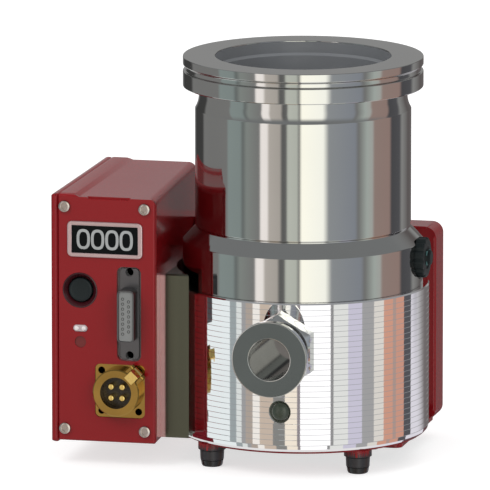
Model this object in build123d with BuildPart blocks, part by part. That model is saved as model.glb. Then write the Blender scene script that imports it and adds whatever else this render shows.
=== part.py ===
from build123d import *
import os
from math import cos, radians, sin, sqrt

os.makedirs("parts", exist_ok=True)

# Turbomolecular vacuum pump with its drive electronics.
# Origin: centre of the inlet flange's sealing face, on the rotor axis.
# +Z points up out of the inlet, -Y is the front with the fore-line port and
# the operating panel, and the drive electronics are on the -X side.

# ---------------------------------------------------------------- fits
slip = 0.1  # radial clearance of pieces that drop into each other
thread_fit = 0.05  # radial clearance left between a screw and its thread
screw_play = 0.2  # radial clearance of a screw in a through hole
move_gap = 0.3  # clearance of pieces that move past each other

# ---------------------------------------------------------------- main sizes, which the others follow
housing_r = 50.0
skirt_r = housing_r - 2.4
tube_r = skirt_r - 4.9
stack_bore_r = tube_r - 3.7
throat_r = stack_bore_r - 5.1
inlet_r = throat_r + 0.8
seam_z = -90.5
spigot_top_z = seam_z + 4.0
housing_h = 59.3
housing_bottom_z = seam_z - housing_h
bearing_top_z = housing_bottom_z + 28.8
case_right_x = -(housing_r - 0.2)
case_left_x = case_right_x - 41.9
case_front_y = -(housing_r - 8.0)
case_back_y = housing_r - 5.0
case_h = 97.8
case_bottom_z = housing_bottom_z - 0.9
case_top_z = case_bottom_z + case_h

# ---------------------------------------------------------------- inlet and upper casing
flange_r = inlet_r + 12.8  # ISO-K DN 63
flange_t = 12.0
flange_edge = 1.0
claw_groove_z = -3.4
claw_groove_w = 2.4
claw_groove_depth = 1.2
inlet_step_z = -4.8
neck_r = tube_r - 1.5
neck_h = 3.6
neck_cove_r = 10.5
cone_top_z = seam_z + 22.5
relief = 0.4
stack_top_z = -14.0
casing_screw_count = 6
casing_screw_pitch_r = skirt_r - 4.1
casing_screw_r = 2.0
casing_thread_depth = 9.0

# ---------------------------------------------------------------- rotor and stator
blade_tip_r = stack_bore_r - 5.8
hub_top_r = 15.0
hub_low_r = stack_bore_r - 15.0
hub_top_z = -23.0
hub_low_z = -64.0
stage_tops = (-22.0, -36.0, -48.0, -59.0)
stage_heights = (7.0, 5.0, 4.0, 4.0)
stage_leans = (6.0, 5.5, 5.0, 5.0)  # how far a blade leans over its height
stage_blade_counts = (20, 24, 24, 24)
blade_t = 1.2
stator_t = 3.0
stator_tops = (-31.0, -43.0, -54.0)
stator_blade_count = 20
stator_rim = 1.8
stator_ring_r = stack_bore_r - 4.8
split_gap = 0.2
drum_disc_t = 3.0
drum_top_z = -66.0
drum_bottom_z = -86.0
drum_r = stack_bore_r - 9.0
drum_wall = 2.0
drum_gap = 0.5
star_t = 5.0
star_arm_count = 3
star_arm_w = 4.0
star_hub_r = 8.0
magnet_pin_r = 2.4
magnet_pin_l = 11.0
still_magnet_r = 5.0
turning_magnet_in_r = 5.5
turning_magnet_r = 8.0
magnet_h = 9.5
magnet_count = 4
hub_cap_z = -20.8
hub_pocket_z = -31.0
hub_tail_z = -74.0
holweck_top_z = -65.0
clamp_in_r = 8.8
wick_in_r = 6.9
wick_t = 4.6

# ---------------------------------------------------------------- shaft, motor and bearing
shaft_r = 6.0
shaft_top_z = -42.0
journal_r = 4.0
shaft_end_z = bearing_top_z - 13.0
motor_magnet_r = 12.0
motor_magnet_top_z = spigot_top_z - 5.0
motor_magnet_l = motor_magnet_top_z - bearing_top_z - 6.5
motor_bore_r = 12.7
motor_r = housing_r - 28.0
motor_top_z = spigot_top_z - 6.5
motor_l = motor_top_z - bearing_top_z - 6.0
winding_r = motor_r - 1.5
bearing_w = 7.0
bearing_r = 11.0
ball_r = 1.5
ball_pitch_r = 7.5
ball_count = 8
race_gap = 0.1
land_gap = 0.9
cage_t = 0.7
damper_t = 2.0
oil_nut_r = 6.4
oil_nut_l = 5.0

# ---------------------------------------------------------------- lower housing
housing_foot_edge = 2.6
housing_top_edge = 0.5
channel_r = housing_r - 14.0
channel_in_r = channel_r - 10.0
channel_bottom_z = bearing_top_z + 3.0
reservoir_r = 16.4
reservoir_top_z = bearing_top_z - 9.0
cover_t = 5.0
seal_r = 1.1
seal_groove_w = 2.4
seal_z = seam_z + 1.7
casing_screw_seat_z = seam_z - 13.5
casing_head_r = 3.5
casing_head_h = 4.0

# ---------------------------------------------------------------- fore-line port, plug and vent
port_x = 2.5
port_z = housing_bottom_z + 40.5
port_face_y = -(housing_r + 18.8)
port_flange_r = 15.0  # DN 16 ISO-KF
port_rim_t = 3.0
port_neck_r = 10.0
port_bore_r = 8.25
port_hex_af = 29.5
port_hex_t = 8.0
port_seat_y = -(housing_r - 3.0)
port_thread_l = 7.0
port_taper = 1.4
plug_z = housing_bottom_z + 16.1
plug_r = 3.5
plug_l = 9.0
plug_dome = 1.6
plug_sink = 1.1
vent_z = seam_z + 11.5
vent_seat_x = skirt_r - 1.6
vent_knob_r = 8.0
vent_knob_t = 4.2
vent_cap_r = 3.0
vent_cap_t = 1.6
vent_stem_r = 2.5
vent_stem_l = 4.5

# ---------------------------------------------------------------- base plate and feet
plate_disc_r = housing_r - 2.8
plate_disc_t = 1.0
plate_t = 1.7
plate_half_w = housing_r - 6.0
plate_front_y = -(housing_r - 31.4)
plate_corner_r = 3.0
foot_x = housing_r - 20.5
foot_y = housing_r - 19.0
foot_boss_r = 5.5
foot_boss_z = housing_bottom_z - 3.7
foot_bottom_z = housing_bottom_z - 10.6
foot_r = 4.8
foot_toe_r = 4.2
foot_ring_h = 2.5
foot_stud_r = 2.0
foot_stud_sink = 3.0
foot_thread_depth = 7.0
base_screw_x = housing_r - 20.0
base_screw_y = 12.0
base_screw_r = 2.0
base_head_r = 3.5
base_head_h = 2.0
base_thread_depth = 7.0

# ---------------------------------------------------------------- drive case
case_back_right_x = case_right_x - 4.7
case_wall = 2.2
case_edge_r = 3.0
strip_h = 0.9
strip_w = 8.7
strip_slope = 2.5
cover_wall = 2.5
panel_t = 2.2
panel_notch_x = (case_left_x + 14.2, case_left_x + 31.7)
panel_notch_h = 0.8
screw_head_r = 2.35
screw_head_h = 1.2
screw_r = 1.3
screw_l = 9.0
corner_screw_x = (case_left_x + 5.2, case_right_x - 4.3)
corner_screw_z = (case_top_z - 3.9, case_bottom_z + 4.9)
corner_block_w = 5.4
corner_block_h = 6.4
corner_block_l = 16.0
side_screw_y = (case_front_y + 14.0, case_back_y - 8.0)

# ---------------------------------------------------------------- adapter block and rear housing
adapter_half_y = housing_r - 18.5
adapter_top_z = seam_z + 6.3
adapter_edge = 0.6
adapter_screw_y = 22.0
adapter_screw_z = (housing_bottom_z + 49.8, housing_bottom_z + 11.8)
adapter_screw_r = 2.0
adapter_head_r = 3.5
adapter_head_h = 3.0
adapter_screw_end_x = -(housing_r - 12.0)
adapter_seat_gap = 0.25
rear_right_x = housing_r - 5.0
rear_left_x = case_left_x + 3.7
rear_front_y = housing_r - 10.0
rear_back_y = housing_r + 5.0
rear_top_z = seam_z + 16.2
rear_bottom_z = housing_bottom_z - 3.2
rear_corner_r = 4.4
rear_edge_r = 1.2
rear_screw_inset = 6.0

# ---------------------------------------------------------------- operating panel
display_x = case_left_x + 21.6
display_z = case_top_z - 16.7
display_w = 26.8
display_h = 11.0
frame_w = 30.5
frame_h = 14.3
frame_r = 2.0
frame_t = 0.8
window_back = 0.4
module_t = 6.0
button_x = case_left_x + 11.4
button_z = case_top_z - 37.3
bezel_r = 7.0
bezel_l = 8.0
bezel_dish = 1.6
cap_r = 4.8
cap_l = 9.0
cap_sink = 0.4
switch_w = 11.0
switch_l = 6.0
light_x = case_left_x + 11.5
status_z = case_top_z - 52.5
status_w = 5.7
status_h = 2.65
fault_z = status_z - 5.5
fault_r = 2.25
light_l = 4.0
signal_x = case_left_x + 31.2
signal_z = case_top_z - 46.1
signal_slot_w = 9.8
signal_slot_h = 37.7
signal_slot_r = 2.5
signal_plate_w = 7.6
signal_plate_h = 36.3
signal_plate_t = 1.0
signal_screw_pitch = 33.3
signal_hole_r = 1.6
shell_w = 6.8
shell_h = 21.0
shell_r = 1.8
shell_wall = 0.5
shell_out = 5.8
insert_step = 0.5
signal_body_l = 10.0
power_x = case_left_x + 27.5
power_z = case_bottom_z + 20.7
power_w = 20.2
power_h = 21.4
power_r = 2.0
power_sink = 0.4
power_flange_t = 2.4
power_hole_r = 1.4
power_hole_inset = 2.6
socket_dx = -0.6
socket_dz = 0.0
socket_r = 9.4
socket_bore_r = 6.3
socket_out = 4.6
socket_floor_y = case_front_y + 1.0
socket_body_l = 14.0
power_pin_r = 1.3
power_pin_pitch_r = 3.2
power_pin_l = 4.5
insulator_t = 0.8
latch_angle = 45.0
latch_pivot_r = 11.4
latch_pivot_y = case_front_y - 2.3
latch_w = 4.0
latch_t = 1.5
latch_back = 1.5
latch_reach = 6.2
latch_hook_r = 8.2
latch_hook_t = 1.4
latch_pin_r = 0.7
latch_fit = 0.06
ear_t = 1.2
ear_l = 3.4

# ---------------------------------------------------------------- electronics inside the case
board_x = case_left_x + 7.5
board_t = 1.6
board_y = (case_front_y + 22.0, case_back_y - 15.0)
board_z = (case_bottom_z + 10.7, case_top_z - 9.1)
board_inset = 5.0
post_r = 2.6
capacitor_r = 6.0
capacitor_l = 16.0

# Values that follow from the ones above
stack_outer_r = stack_bore_r - slip
star_bottom_z = stack_top_z - star_t
plate_top_z = housing_bottom_z
plate_mid_z = plate_top_z - plate_disc_t
plate_bottom_z = plate_mid_z - plate_t
panel_back_y = case_front_y + panel_t
panel_left_x = case_left_x + cover_wall
top_strip_z = case_top_z + strip_h
low_strip_z = case_bottom_z - strip_h
socket_x = power_x + socket_dx
socket_z = power_z + socket_dz


def hub_radius(z):
    """Radius of the rotor's tapered hub at a height."""
    share = (hub_top_z - z) / (hub_top_z - hub_low_z)
    return hub_top_r + (hub_low_r - hub_top_r) * share


def case_side_x(y):
    """Where the drive case's slanted right wall stands at a depth."""
    share = (y - case_front_y) / (case_back_y - case_front_y)
    return case_right_x + (case_back_right_x - case_right_x) * share


def front(y):
    """A plane that faces the front, with X to the right and Z up."""
    return Plane.XZ.offset(-y)


def write(piece, name):
    piece.part.label = name
    export_step(piece.part, f"parts/{name}.step")


def make_ring(inner_r, outer_r, top_z, height):
    """A plain ring on the rotor axis."""
    with BuildPart() as ring:
        with BuildSketch(Plane.XY.offset(top_z - height)):
            Circle(outer_r)
            if inner_r > 0:
                Circle(inner_r, mode=Mode.SUBTRACT)
        extrude(amount=height)
    return ring


def make_screw(shank_r, shank_l, head_r, head_h):
    """A screw that stands on its tip side: the head's seat is at the origin, the shank goes up."""
    with BuildPart() as screw:
        with BuildSketch():
            Circle(shank_r)
        extrude(amount=shank_l)
        with BuildSketch():
            Circle(head_r)
        extrude(amount=-head_h)
        chamfer(screw.faces().sort_by(Axis.Z)[0].edges(), head_h / 5)
        with BuildSketch(Plane.XY.offset(-head_h)):
            RegularPolygon(head_r / 2, 6)
        extrude(amount=head_h / 2, mode=Mode.SUBTRACT)
    return screw


def make_blade(root_r, tip_r, height, lean, thickness):
    """One blade along +X from the root to the tip, with flat top and bottom, leaning over its height."""
    with BuildPart() as blade:
        with BuildSketch(Plane.YZ.offset(root_r)):
            with BuildLine():
                Polyline(
                    (-lean / 2 - thickness / 2, 0),
                    (-lean / 2 + thickness / 2, 0),
                    (lean / 2 + thickness / 2, height),
                    (lean / 2 - thickness / 2, height),
                    close=True,
                )
            make_face()
        extrude(amount=tip_r - root_r)
    return blade


# ================================================================ vacuum casings

# Upper casing: inlet flange, neck, tube and skirt turned from one piece of steel
with BuildPart() as upper_casing:
    with BuildSketch(Plane.XZ):
        with BuildLine():
            neck_end = (neck_r, -flange_t - neck_h)
            cove_drop = sqrt(neck_cove_r**2 - (neck_cove_r - (tube_r - neck_r)) ** 2)
            cove_end = (tube_r, -flange_t - neck_h - cove_drop)
            Polyline(
                (inlet_r, 0),
                (flange_r - flange_edge, 0),
                (flange_r, -flange_edge),
                (flange_r, claw_groove_z),
                (flange_r - claw_groove_depth, claw_groove_z),
                (flange_r - claw_groove_depth, claw_groove_z - claw_groove_w),
                (flange_r, claw_groove_z - claw_groove_w),
                (flange_r, -flange_t + flange_edge / 2),
                (flange_r - flange_edge / 2, -flange_t),
                (neck_r, -flange_t),
                neck_end,
            )
            TangentArc(neck_end, cove_end, tangent=(0, -1))
            Polyline(
                cove_end,
                (tube_r, cone_top_z + 2 * relief),
                (tube_r - relief, cone_top_z + relief),
                (tube_r - relief, cone_top_z),
                (skirt_r, cone_top_z - (skirt_r - tube_r)),
                (skirt_r, seam_z),
                (stack_bore_r, seam_z),
                (stack_bore_r, stack_top_z),
                (throat_r, stack_top_z + 1),
                (throat_r, inlet_step_z - 1),
                (inlet_r, inlet_step_z),
                (inlet_r, 0),
            )
        make_face()
    revolve(axis=Axis.Z)
    # threads for the screws that come up through the housing
    with BuildSketch(Plane.XY.offset(seam_z)):
        with PolarLocations(casing_screw_pitch_r, casing_screw_count):
            Circle(casing_screw_r + thread_fit)
    extrude(amount=casing_thread_depth, mode=Mode.SUBTRACT)
    # flat seat and stem hole of the vent screw
    with BuildSketch(Plane.YZ.offset(vent_seat_x)):
        with Locations((0, vent_z)):
            Circle(vent_knob_r + 2 * move_gap)
    extrude(amount=vent_knob_r, mode=Mode.SUBTRACT)
    with BuildSketch(Plane.YZ.offset(vent_seat_x)):
        with Locations((0, vent_z)):
            Circle(vent_stem_r + move_gap)
    extrude(amount=-(vent_stem_l + 2 * move_gap), mode=Mode.SUBTRACT)
write(upper_casing, "upper_casing")

# Lower housing: turned and bored from aluminium, with the ring channel that
# leads to the fore line, the motor pocket and the bearing seat
with BuildPart() as lower_housing:
    with BuildSketch(Plane.XZ):
        with BuildLine():
            Polyline(
                (0, spigot_top_z),
                (stack_outer_r, spigot_top_z),
                (stack_outer_r, seam_z),
                (housing_r - housing_top_edge, seam_z),
                (housing_r, seam_z - housing_top_edge),
                (housing_r, housing_bottom_z + housing_foot_edge),
                (housing_r - housing_foot_edge, housing_bottom_z),
                (0, housing_bottom_z),
                close=True,
            )
        make_face()
    revolve(axis=Axis.Z)
    with BuildSketch(Plane.XZ):
        with BuildLine():
            damper_r = bearing_r + damper_t
            pocket_bottom_z = motor_top_z - motor_l
            Polyline(
                (0, spigot_top_z),
                (channel_r, spigot_top_z),
                (channel_r, channel_bottom_z),
                (channel_in_r, channel_bottom_z),
                (channel_in_r, motor_top_z),
                (motor_r, motor_top_z),
                (motor_r, pocket_bottom_z),
                (shaft_r + 2 * move_gap, pocket_bottom_z),
                (shaft_r + 2 * move_gap, bearing_top_z),
                (damper_r, bearing_top_z),
                (damper_r, reservoir_top_z),
                (reservoir_r, reservoir_top_z),
                (reservoir_r, housing_bottom_z),
                (0, housing_bottom_z),
                close=True,
            )
        make_face()
    revolve(axis=Axis.Z, mode=Mode.SUBTRACT)
    # groove of the seal ring in the spigot
    with BuildSketch(Plane.XY.offset(seal_z - seal_groove_w / 2)):
        Circle(stack_outer_r)
        Circle(stack_outer_r - 2 * seal_r, mode=Mode.SUBTRACT)
    extrude(amount=seal_groove_w, mode=Mode.SUBTRACT)
    # long counterbores of the casing screws
    with BuildSketch(Plane.XY.offset(seam_z)):
        with PolarLocations(casing_screw_pitch_r, casing_screw_count):
            Circle(casing_screw_r + screw_play)
    extrude(amount=casing_screw_seat_z - seam_z, mode=Mode.SUBTRACT)
    with BuildSketch(Plane.XY.offset(casing_screw_seat_z)):
        with PolarLocations(casing_screw_pitch_r, casing_screw_count):
            Circle(casing_head_r + screw_play)
    extrude(amount=housing_bottom_z - casing_screw_seat_z, mode=Mode.SUBTRACT)
    # threads of the base screws and of the foot studs
    with BuildSketch(Plane.XY.offset(housing_bottom_z)):
        with GridLocations(2 * base_screw_x, 2 * base_screw_y, 2, 2):
            Circle(base_screw_r + thread_fit)
    extrude(amount=base_thread_depth, mode=Mode.SUBTRACT)
    with BuildSketch(Plane.XY.offset(housing_bottom_z)):
        with GridLocations(2 * foot_x, 2 * foot_y, 2, 2):
            Circle(foot_stud_r + thread_fit)
    extrude(amount=foot_thread_depth, mode=Mode.SUBTRACT)
    # spot-faced seat, thread and bore of the fore-line port
    with BuildSketch(front(port_seat_y)):
        with Locations((port_x, port_z)):
            Circle(port_hex_af / 2 / cos(radians(30)) + move_gap)
    extrude(amount=housing_r, mode=Mode.SUBTRACT)
    with BuildSketch(front(port_seat_y)):
        with Locations((port_x, port_z)):
            Circle(port_neck_r + thread_fit)
    extrude(amount=-port_thread_l, mode=Mode.SUBTRACT)
    with BuildSketch(front(port_seat_y)):
        with Locations((port_x, port_z)):
            Circle(port_bore_r)
    extrude(amount=port_seat_y + channel_r - port_thread_l, mode=Mode.SUBTRACT)
    # socket of the sealing plug, with a chamfered mouth
    with BuildSketch(front(-housing_r - plug_sink)):
        with Locations((port_x, plug_z)):
            Circle(plug_r + slip)
    extrude(amount=-(plug_l + plug_sink), mode=Mode.SUBTRACT)
    with BuildSketch(front(-housing_r)):
        with Locations((port_x, plug_z)):
            Circle(plug_r + plug_sink)
    extrude(amount=-plug_sink, taper=45, mode=Mode.SUBTRACT)
    # threads of the four screws that hold the adapter block
    with BuildSketch(Plane.YZ.offset(-housing_r)):
        for screw_z in adapter_screw_z:
            with Locations((-adapter_screw_y, screw_z), (adapter_screw_y, screw_z)):
                Circle(adapter_screw_r + thread_fit)
    extrude(amount=adapter_screw_end_x + housing_r + move_gap, mode=Mode.SUBTRACT)
write(lower_housing, "lower_housing")

# Seal ring between the two casings
with BuildPart() as casing_seal:
    with BuildSketch(Plane.XZ):
        with Locations((stack_outer_r - seal_r, seal_z)):
            Circle(seal_r)
    revolve(axis=Axis.Z)
write(casing_seal, "casing_seal")

# Six screws that pull the housing against the upper casing
screw = make_screw(
    casing_screw_r, seam_z - casing_screw_seat_z + casing_thread_depth - 1, casing_head_r, casing_head_h
)
with BuildPart() as casing_screws:
    with Locations((0, 0, casing_screw_seat_z)):
        with PolarLocations(casing_screw_pitch_r, casing_screw_count):
            add(screw.part)
write(casing_screws, "casing_screws")

# ================================================================ stator stack

# Star that carries the fixed half of the upper magnet bearing
with BuildPart() as bearing_star:
    with BuildSketch(Plane.XY.offset(star_bottom_z)):
        Circle(stack_outer_r)
        Circle(stator_ring_r, mode=Mode.SUBTRACT)
        Circle(star_hub_r)
        with PolarLocations((star_hub_r + stator_ring_r) / 2, star_arm_count, start_angle=90):
            Rectangle(stator_ring_r - star_hub_r + 2, star_arm_w)
    extrude(amount=star_t)
    hub_rim = bearing_star.edges().filter_by(GeomType.CIRCLE).filter_by(lambda e: e.radius == star_hub_r)
    chamfer(hub_rim.group_by(Axis.Z)[-1], 1)
    with BuildSketch(Plane.XY.offset(star_bottom_z)):
        Circle(magnet_pin_r)
    extrude(amount=-magnet_pin_l)
write(bearing_star, "bearing_star")

# Fixed magnet rings, stacked on the star's pin
with BuildPart() as fixed_magnets:
    for ring in range(magnet_count):
        ring_h = magnet_h / magnet_count
        with BuildSketch(Plane.XY.offset(star_bottom_z - (ring + 1) * ring_h)):
            Circle(still_magnet_r - (ring % 2) * slip)
            Circle(magnet_pin_r, mode=Mode.SUBTRACT)
        extrude(amount=ring_h)
write(fixed_magnets, "fixed_magnets")

# Spacer rings between the star, the stator discs and the drag stage
spacer_tops = [star_bottom_z] + [top - stator_t for top in stator_tops]
spacer_bottoms = list(stator_tops) + [holweck_top_z]
with BuildPart() as spacer_rings:
    for top, bottom in zip(spacer_tops, spacer_bottoms):
        with BuildSketch(Plane.XY.offset(bottom)):
            Circle(stack_outer_r)
            Circle(stator_ring_r, mode=Mode.SUBTRACT)
        extrude(amount=top - bottom)
write(spacer_rings, "spacer_rings")

# Stator discs, each in two halves so that they go in between the rotor's stages
for number, top in enumerate(stator_tops, start=1):
    bottom = top - stator_t
    ring_in_r = hub_radius(bottom) + 2 * move_gap
    vane = make_blade(ring_in_r + stator_rim / 2, stator_ring_r + stator_rim / 2, stator_t, -stator_t, blade_t)
    with BuildPart() as stator_disc:
        with BuildSketch(Plane.XY.offset(bottom)):
            Circle(stack_outer_r)
            Circle(stator_ring_r, mode=Mode.SUBTRACT)
            with BuildSketch(mode=Mode.PRIVATE) as inner_ring:
                Circle(ring_in_r + stator_rim)
                Circle(ring_in_r, mode=Mode.SUBTRACT)
            add(inner_ring.sketch)
        extrude(amount=stator_t)
        with Locations((0, 0, bottom)):
            with PolarLocations(0, stator_blade_count, start_angle=180 / stator_blade_count):
                add(vane.part)
        with BuildSketch(Plane.XY.offset(bottom)):
            Rectangle(2 * stack_outer_r, split_gap)
        extrude(amount=stator_t, mode=Mode.SUBTRACT)
    write(stator_disc, f"stator_disc_{number}")

# Drag-stage stator: a sleeve with helical pump channels in its bore
groove_count = 6
groove_w = 8.0
groove_depth = 3.0
groove_turn = 50.0
sleeve_h = holweck_top_z - spigot_top_z
sleeve_in_r = drum_r + drum_gap
with BuildSketch() as channel_section:
    with PolarLocations(sleeve_in_r + groove_depth / 2, groove_count):
        Rectangle(groove_depth + 1, groove_w)
channels = [
    Solid.extrude_linear_with_rotation(
        face.moved(Location((0, 0, spigot_top_z))), (0, 0, spigot_top_z), (0, 0, sleeve_h), groove_turn
    )
    for face in channel_section.sketch.faces()
]
with BuildPart() as drag_stator:
    with BuildSketch(Plane.XY.offset(spigot_top_z)):
        Circle(stack_outer_r)
        Circle(sleeve_in_r, mode=Mode.SUBTRACT)
    extrude(amount=sleeve_h)
    add(channels, mode=Mode.SUBTRACT)
write(drag_stator, "drag_stator")

# ================================================================ rotor

# Bladed rotor: four rows of leaning blades milled out of one tapered hub
with BuildPart() as rotor:
    with BuildSketch(Plane.XZ):
        with BuildLine():
            drum_in_r = drum_r - drum_wall
            Polyline(
                (0, hub_pocket_z),
                (turning_magnet_r, hub_pocket_z),
                (turning_magnet_r, hub_cap_z),
                (hub_top_r - 2, hub_cap_z),
                (hub_top_r, hub_top_z),
                (hub_low_r, hub_low_z),
                (hub_low_r, drum_top_z),
                (drum_in_r, drum_top_z),
                (drum_in_r, drum_top_z - drum_disc_t),
                (shaft_r + 2 * drum_wall, drum_top_z - drum_disc_t),
                (shaft_r + drum_wall, hub_tail_z),
                (shaft_r, hub_tail_z),
                (shaft_r, shaft_top_z),
                (0, shaft_top_z),
                close=True,
            )
        make_face()
    revolve(axis=Axis.Z)
    for top, height, lean, count in zip(stage_tops, stage_heights, stage_leans, stage_blade_counts):
        blade = make_blade(hub_radius(top) - 1, blade_tip_r, height, lean, blade_t)
        with Locations((0, 0, top - height)):
            with PolarLocations(0, count):
                add(blade.part)
write(rotor, "rotor")

# Carbon-fibre drum of the drag stage, shrunk on the rotor's disc
drag_drum = make_ring(drum_in_r, drum_r, drum_top_z, drum_top_z - drum_bottom_z)
write(drag_drum, "drag_drum")

# Turning magnet rings in the rotor's top pocket
with BuildPart() as turning_magnets:
    for ring in range(magnet_count):
        ring_h = magnet_h / magnet_count
        with BuildSketch(Plane.XY.offset(hub_pocket_z + ring * ring_h)):
            Circle(turning_magnet_r)
            Circle(turning_magnet_in_r + (ring % 2) * slip, mode=Mode.SUBTRACT)
        extrude(amount=ring_h)
write(turning_magnets, "turning_magnets")

# Shaft with its stepped journal
with BuildPart() as shaft:
    with BuildSketch(Plane.XY.offset(bearing_top_z)):
        Circle(shaft_r)
    extrude(amount=shaft_top_z - bearing_top_z)
    with BuildSketch(Plane.XY.offset(shaft_end_z)):
        Circle(journal_r)
    extrude(amount=bearing_top_z - shaft_end_z)
    chamfer(shaft.faces().sort_by(Axis.Z)[0].edges(), journal_r / 5)
write(shaft, "shaft")

motor_magnet = make_ring(shaft_r, motor_magnet_r, motor_magnet_top_z, motor_magnet_l)
write(motor_magnet, "motor_magnet")

# Motor stator: laminated core with narrower potted windings at both ends
with BuildPart() as motor_stator:
    end_h = 2.0
    with BuildSketch(Plane.XY.offset(motor_top_z - motor_l)):
        Circle(winding_r)
        Circle(motor_bore_r + 1, mode=Mode.SUBTRACT)
    extrude(amount=motor_l)
    with BuildSketch(Plane.XY.offset(motor_top_z - motor_l + end_h)):
        Circle(motor_r)
        Circle(motor_bore_r, mode=Mode.SUBTRACT)
    extrude(amount=motor_l - 2 * end_h)
write(motor_stator, "motor_stator")

# ================================================================ lower bearing and oil supply

ball_z = bearing_top_z - bearing_w / 2
with BuildPart() as bearing_inner_race:
    with BuildSketch(Plane.XZ):
        with Locations(((journal_r + ball_pitch_r - land_gap) / 2, ball_z)):
            Rectangle(ball_pitch_r - land_gap - journal_r, bearing_w)
        with Locations((ball_pitch_r, ball_z)):
            Circle(ball_r + race_gap, mode=Mode.SUBTRACT)
    revolve(axis=Axis.Z)
write(bearing_inner_race, "bearing_inner_race")

with BuildPart() as bearing_outer_race:
    with BuildSketch(Plane.XZ):
        with Locations(((bearing_r + ball_pitch_r + land_gap) / 2, ball_z)):
            Rectangle(bearing_r - ball_pitch_r - land_gap, bearing_w)
        with Locations((ball_pitch_r, ball_z)):
            Circle(ball_r + race_gap, mode=Mode.SUBTRACT)
    revolve(axis=Axis.Z)
write(bearing_outer_race, "bearing_outer_race")

with BuildPart() as bearing_balls:
    with Locations((0, 0, ball_z)):
        with PolarLocations(ball_pitch_r, ball_count):
            Sphere(ball_r)
write(bearing_balls, "bearing_balls")

# Cage: a thin ring with a round pocket for each ball
with BuildPart() as bearing_cage:
    cage_h = bearing_w - 2 * cage_t
    with BuildSketch(Plane.XY.offset(ball_z - cage_h / 2)):
        Circle(ball_pitch_r + cage_t / 2)
        Circle(ball_pitch_r - cage_t / 2, mode=Mode.SUBTRACT)
    extrude(amount=cage_h)
    for ball in range(ball_count):
        turn = radians(360 / ball_count * ball)
        pocket_plane = Plane(origin=(0, 0, ball_z), x_dir=(0, 0, 1), z_dir=(cos(turn), sin(turn), 0))
        with BuildSketch(pocket_plane):
            Circle(ball_r + slip)
        extrude(amount=bearing_r, mode=Mode.SUBTRACT)
write(bearing_cage, "bearing_cage")

bearing_damper = make_ring(bearing_r, bearing_r + damper_t, bearing_top_z, bearing_w)
write(bearing_damper, "bearing_damper")

clamp_t = bearing_top_z - bearing_w - reservoir_top_z
bearing_clamp = make_ring(clamp_in_r, bearing_r + damper_t, reservoir_top_z + clamp_t, clamp_t)
write(bearing_clamp, "bearing_clamp")

# Conical nut that draws oil up from the wick
with BuildPart() as oil_nut:
    with BuildSketch(Plane.XY.offset(bearing_top_z - bearing_w)):
        Circle(oil_nut_r)
        Circle(journal_r, mode=Mode.SUBTRACT)
    extrude(amount=-oil_nut_l)
    chamfer(oil_nut.edges().filter_by(GeomType.CIRCLE).group_by(Axis.Z)[0].sort_by(SortBy.RADIUS)[-1], 1.4)
write(oil_nut, "oil_nut")

oil_wick = make_ring(wick_in_r, reservoir_r - slip, reservoir_top_z, wick_t)
write(oil_wick, "oil_wick")

pad_top_z = reservoir_top_z - wick_t
pad_h = pad_top_z - housing_bottom_z - cover_t
oil_pad = make_ring(0, reservoir_r - slip, pad_top_z, pad_h)
write(oil_pad, "oil_pad")

# Cover of the oil reservoir, with two holes for a pin spanner
with BuildPart() as reservoir_cover:
    with BuildSketch(Plane.XY.offset(housing_bottom_z)):
        Circle(reservoir_r - slip)
    extrude(amount=cover_t)
    with BuildSketch(Plane.XY.offset(housing_bottom_z)):
        with PolarLocations(reservoir_r - 2 * damper_t, 2):
            Circle(damper_t / 2)
    extrude(amount=cover_t / 2, mode=Mode.SUBTRACT)
write(reservoir_cover, "reservoir_cover")

# ================================================================ ports

# Small-flange fore-line port with its spanner hexagon and thread
with BuildPart() as fore_line_port:
    with BuildSketch(Plane((port_x, 0, port_z), x_dir=(1, 0, 0), z_dir=(0, 0, 1))):
        with BuildLine():
            rim_back_y = port_face_y + port_rim_t
            Polyline(
                (port_bore_r, port_face_y),
                (port_flange_r - relief, port_face_y),
                (port_flange_r, port_face_y + relief),
                (port_flange_r, rim_back_y),
                (port_neck_r, rim_back_y + port_taper),
                (port_neck_r, port_seat_y + port_thread_l),
                (port_bore_r, port_seat_y + port_thread_l),
                close=True,
            )
        make_face()
    revolve(axis=Axis((port_x, 0, port_z), (0, 1, 0)))
    with BuildSketch(front(port_seat_y)):
        with Locations((port_x, port_z)):
            RegularPolygon(port_hex_af / 2 / cos(radians(30)), 6, rotation=90)
            Circle(port_bore_r, mode=Mode.SUBTRACT)
    extrude(amount=port_hex_t)
write(fore_line_port, "fore_line_port")

# Round-nosed plug that closes the service port
with BuildPart() as sealing_plug:
    with BuildSketch(Plane((port_x, 0, plug_z), x_dir=(1, 0, 0), z_dir=(0, 0, 1))):
        with BuildLine():
            plug_back_y = -housing_r + plug_l
            Polyline(
                (0, -housing_r - plug_dome / 2),
                (0, plug_back_y),
                (plug_r, plug_back_y),
                (plug_r, -housing_r + plug_dome / 2),
            )
            TangentArc(
                (0, -housing_r - plug_dome / 2), (plug_r, -housing_r + plug_dome / 2), tangent=(1, 0)
            )
        make_face()
    revolve(axis=Axis((port_x, 0, plug_z), (0, 1, 0)))
write(sealing_plug, "sealing_plug")

# Fluted vent screw on the right of the casing
with BuildPart() as vent_screw:
    knob_x = vent_seat_x + move_gap
    with BuildSketch(Plane.YZ.offset(knob_x)):
        with Locations((0, vent_z)):
            Circle(vent_knob_r)
            with PolarLocations(vent_knob_r + relief, 12):
                Circle(2 * relief, mode=Mode.SUBTRACT)
    extrude(amount=vent_knob_t)
    with BuildSketch(Plane.YZ.offset(knob_x + vent_knob_t)):
        with Locations((0, vent_z)):
            Circle(vent_cap_r)
    extrude(amount=vent_cap_t)
    chamfer(vent_screw.faces().sort_by(Axis.X)[-1].edges(), relief)
    with BuildSketch(Plane.YZ.offset(knob_x)):
        with Locations((0, vent_z)):
            Circle(vent_stem_r)
    extrude(amount=-vent_stem_l)
write(vent_screw, "vent_screw")

# ================================================================ base

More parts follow.
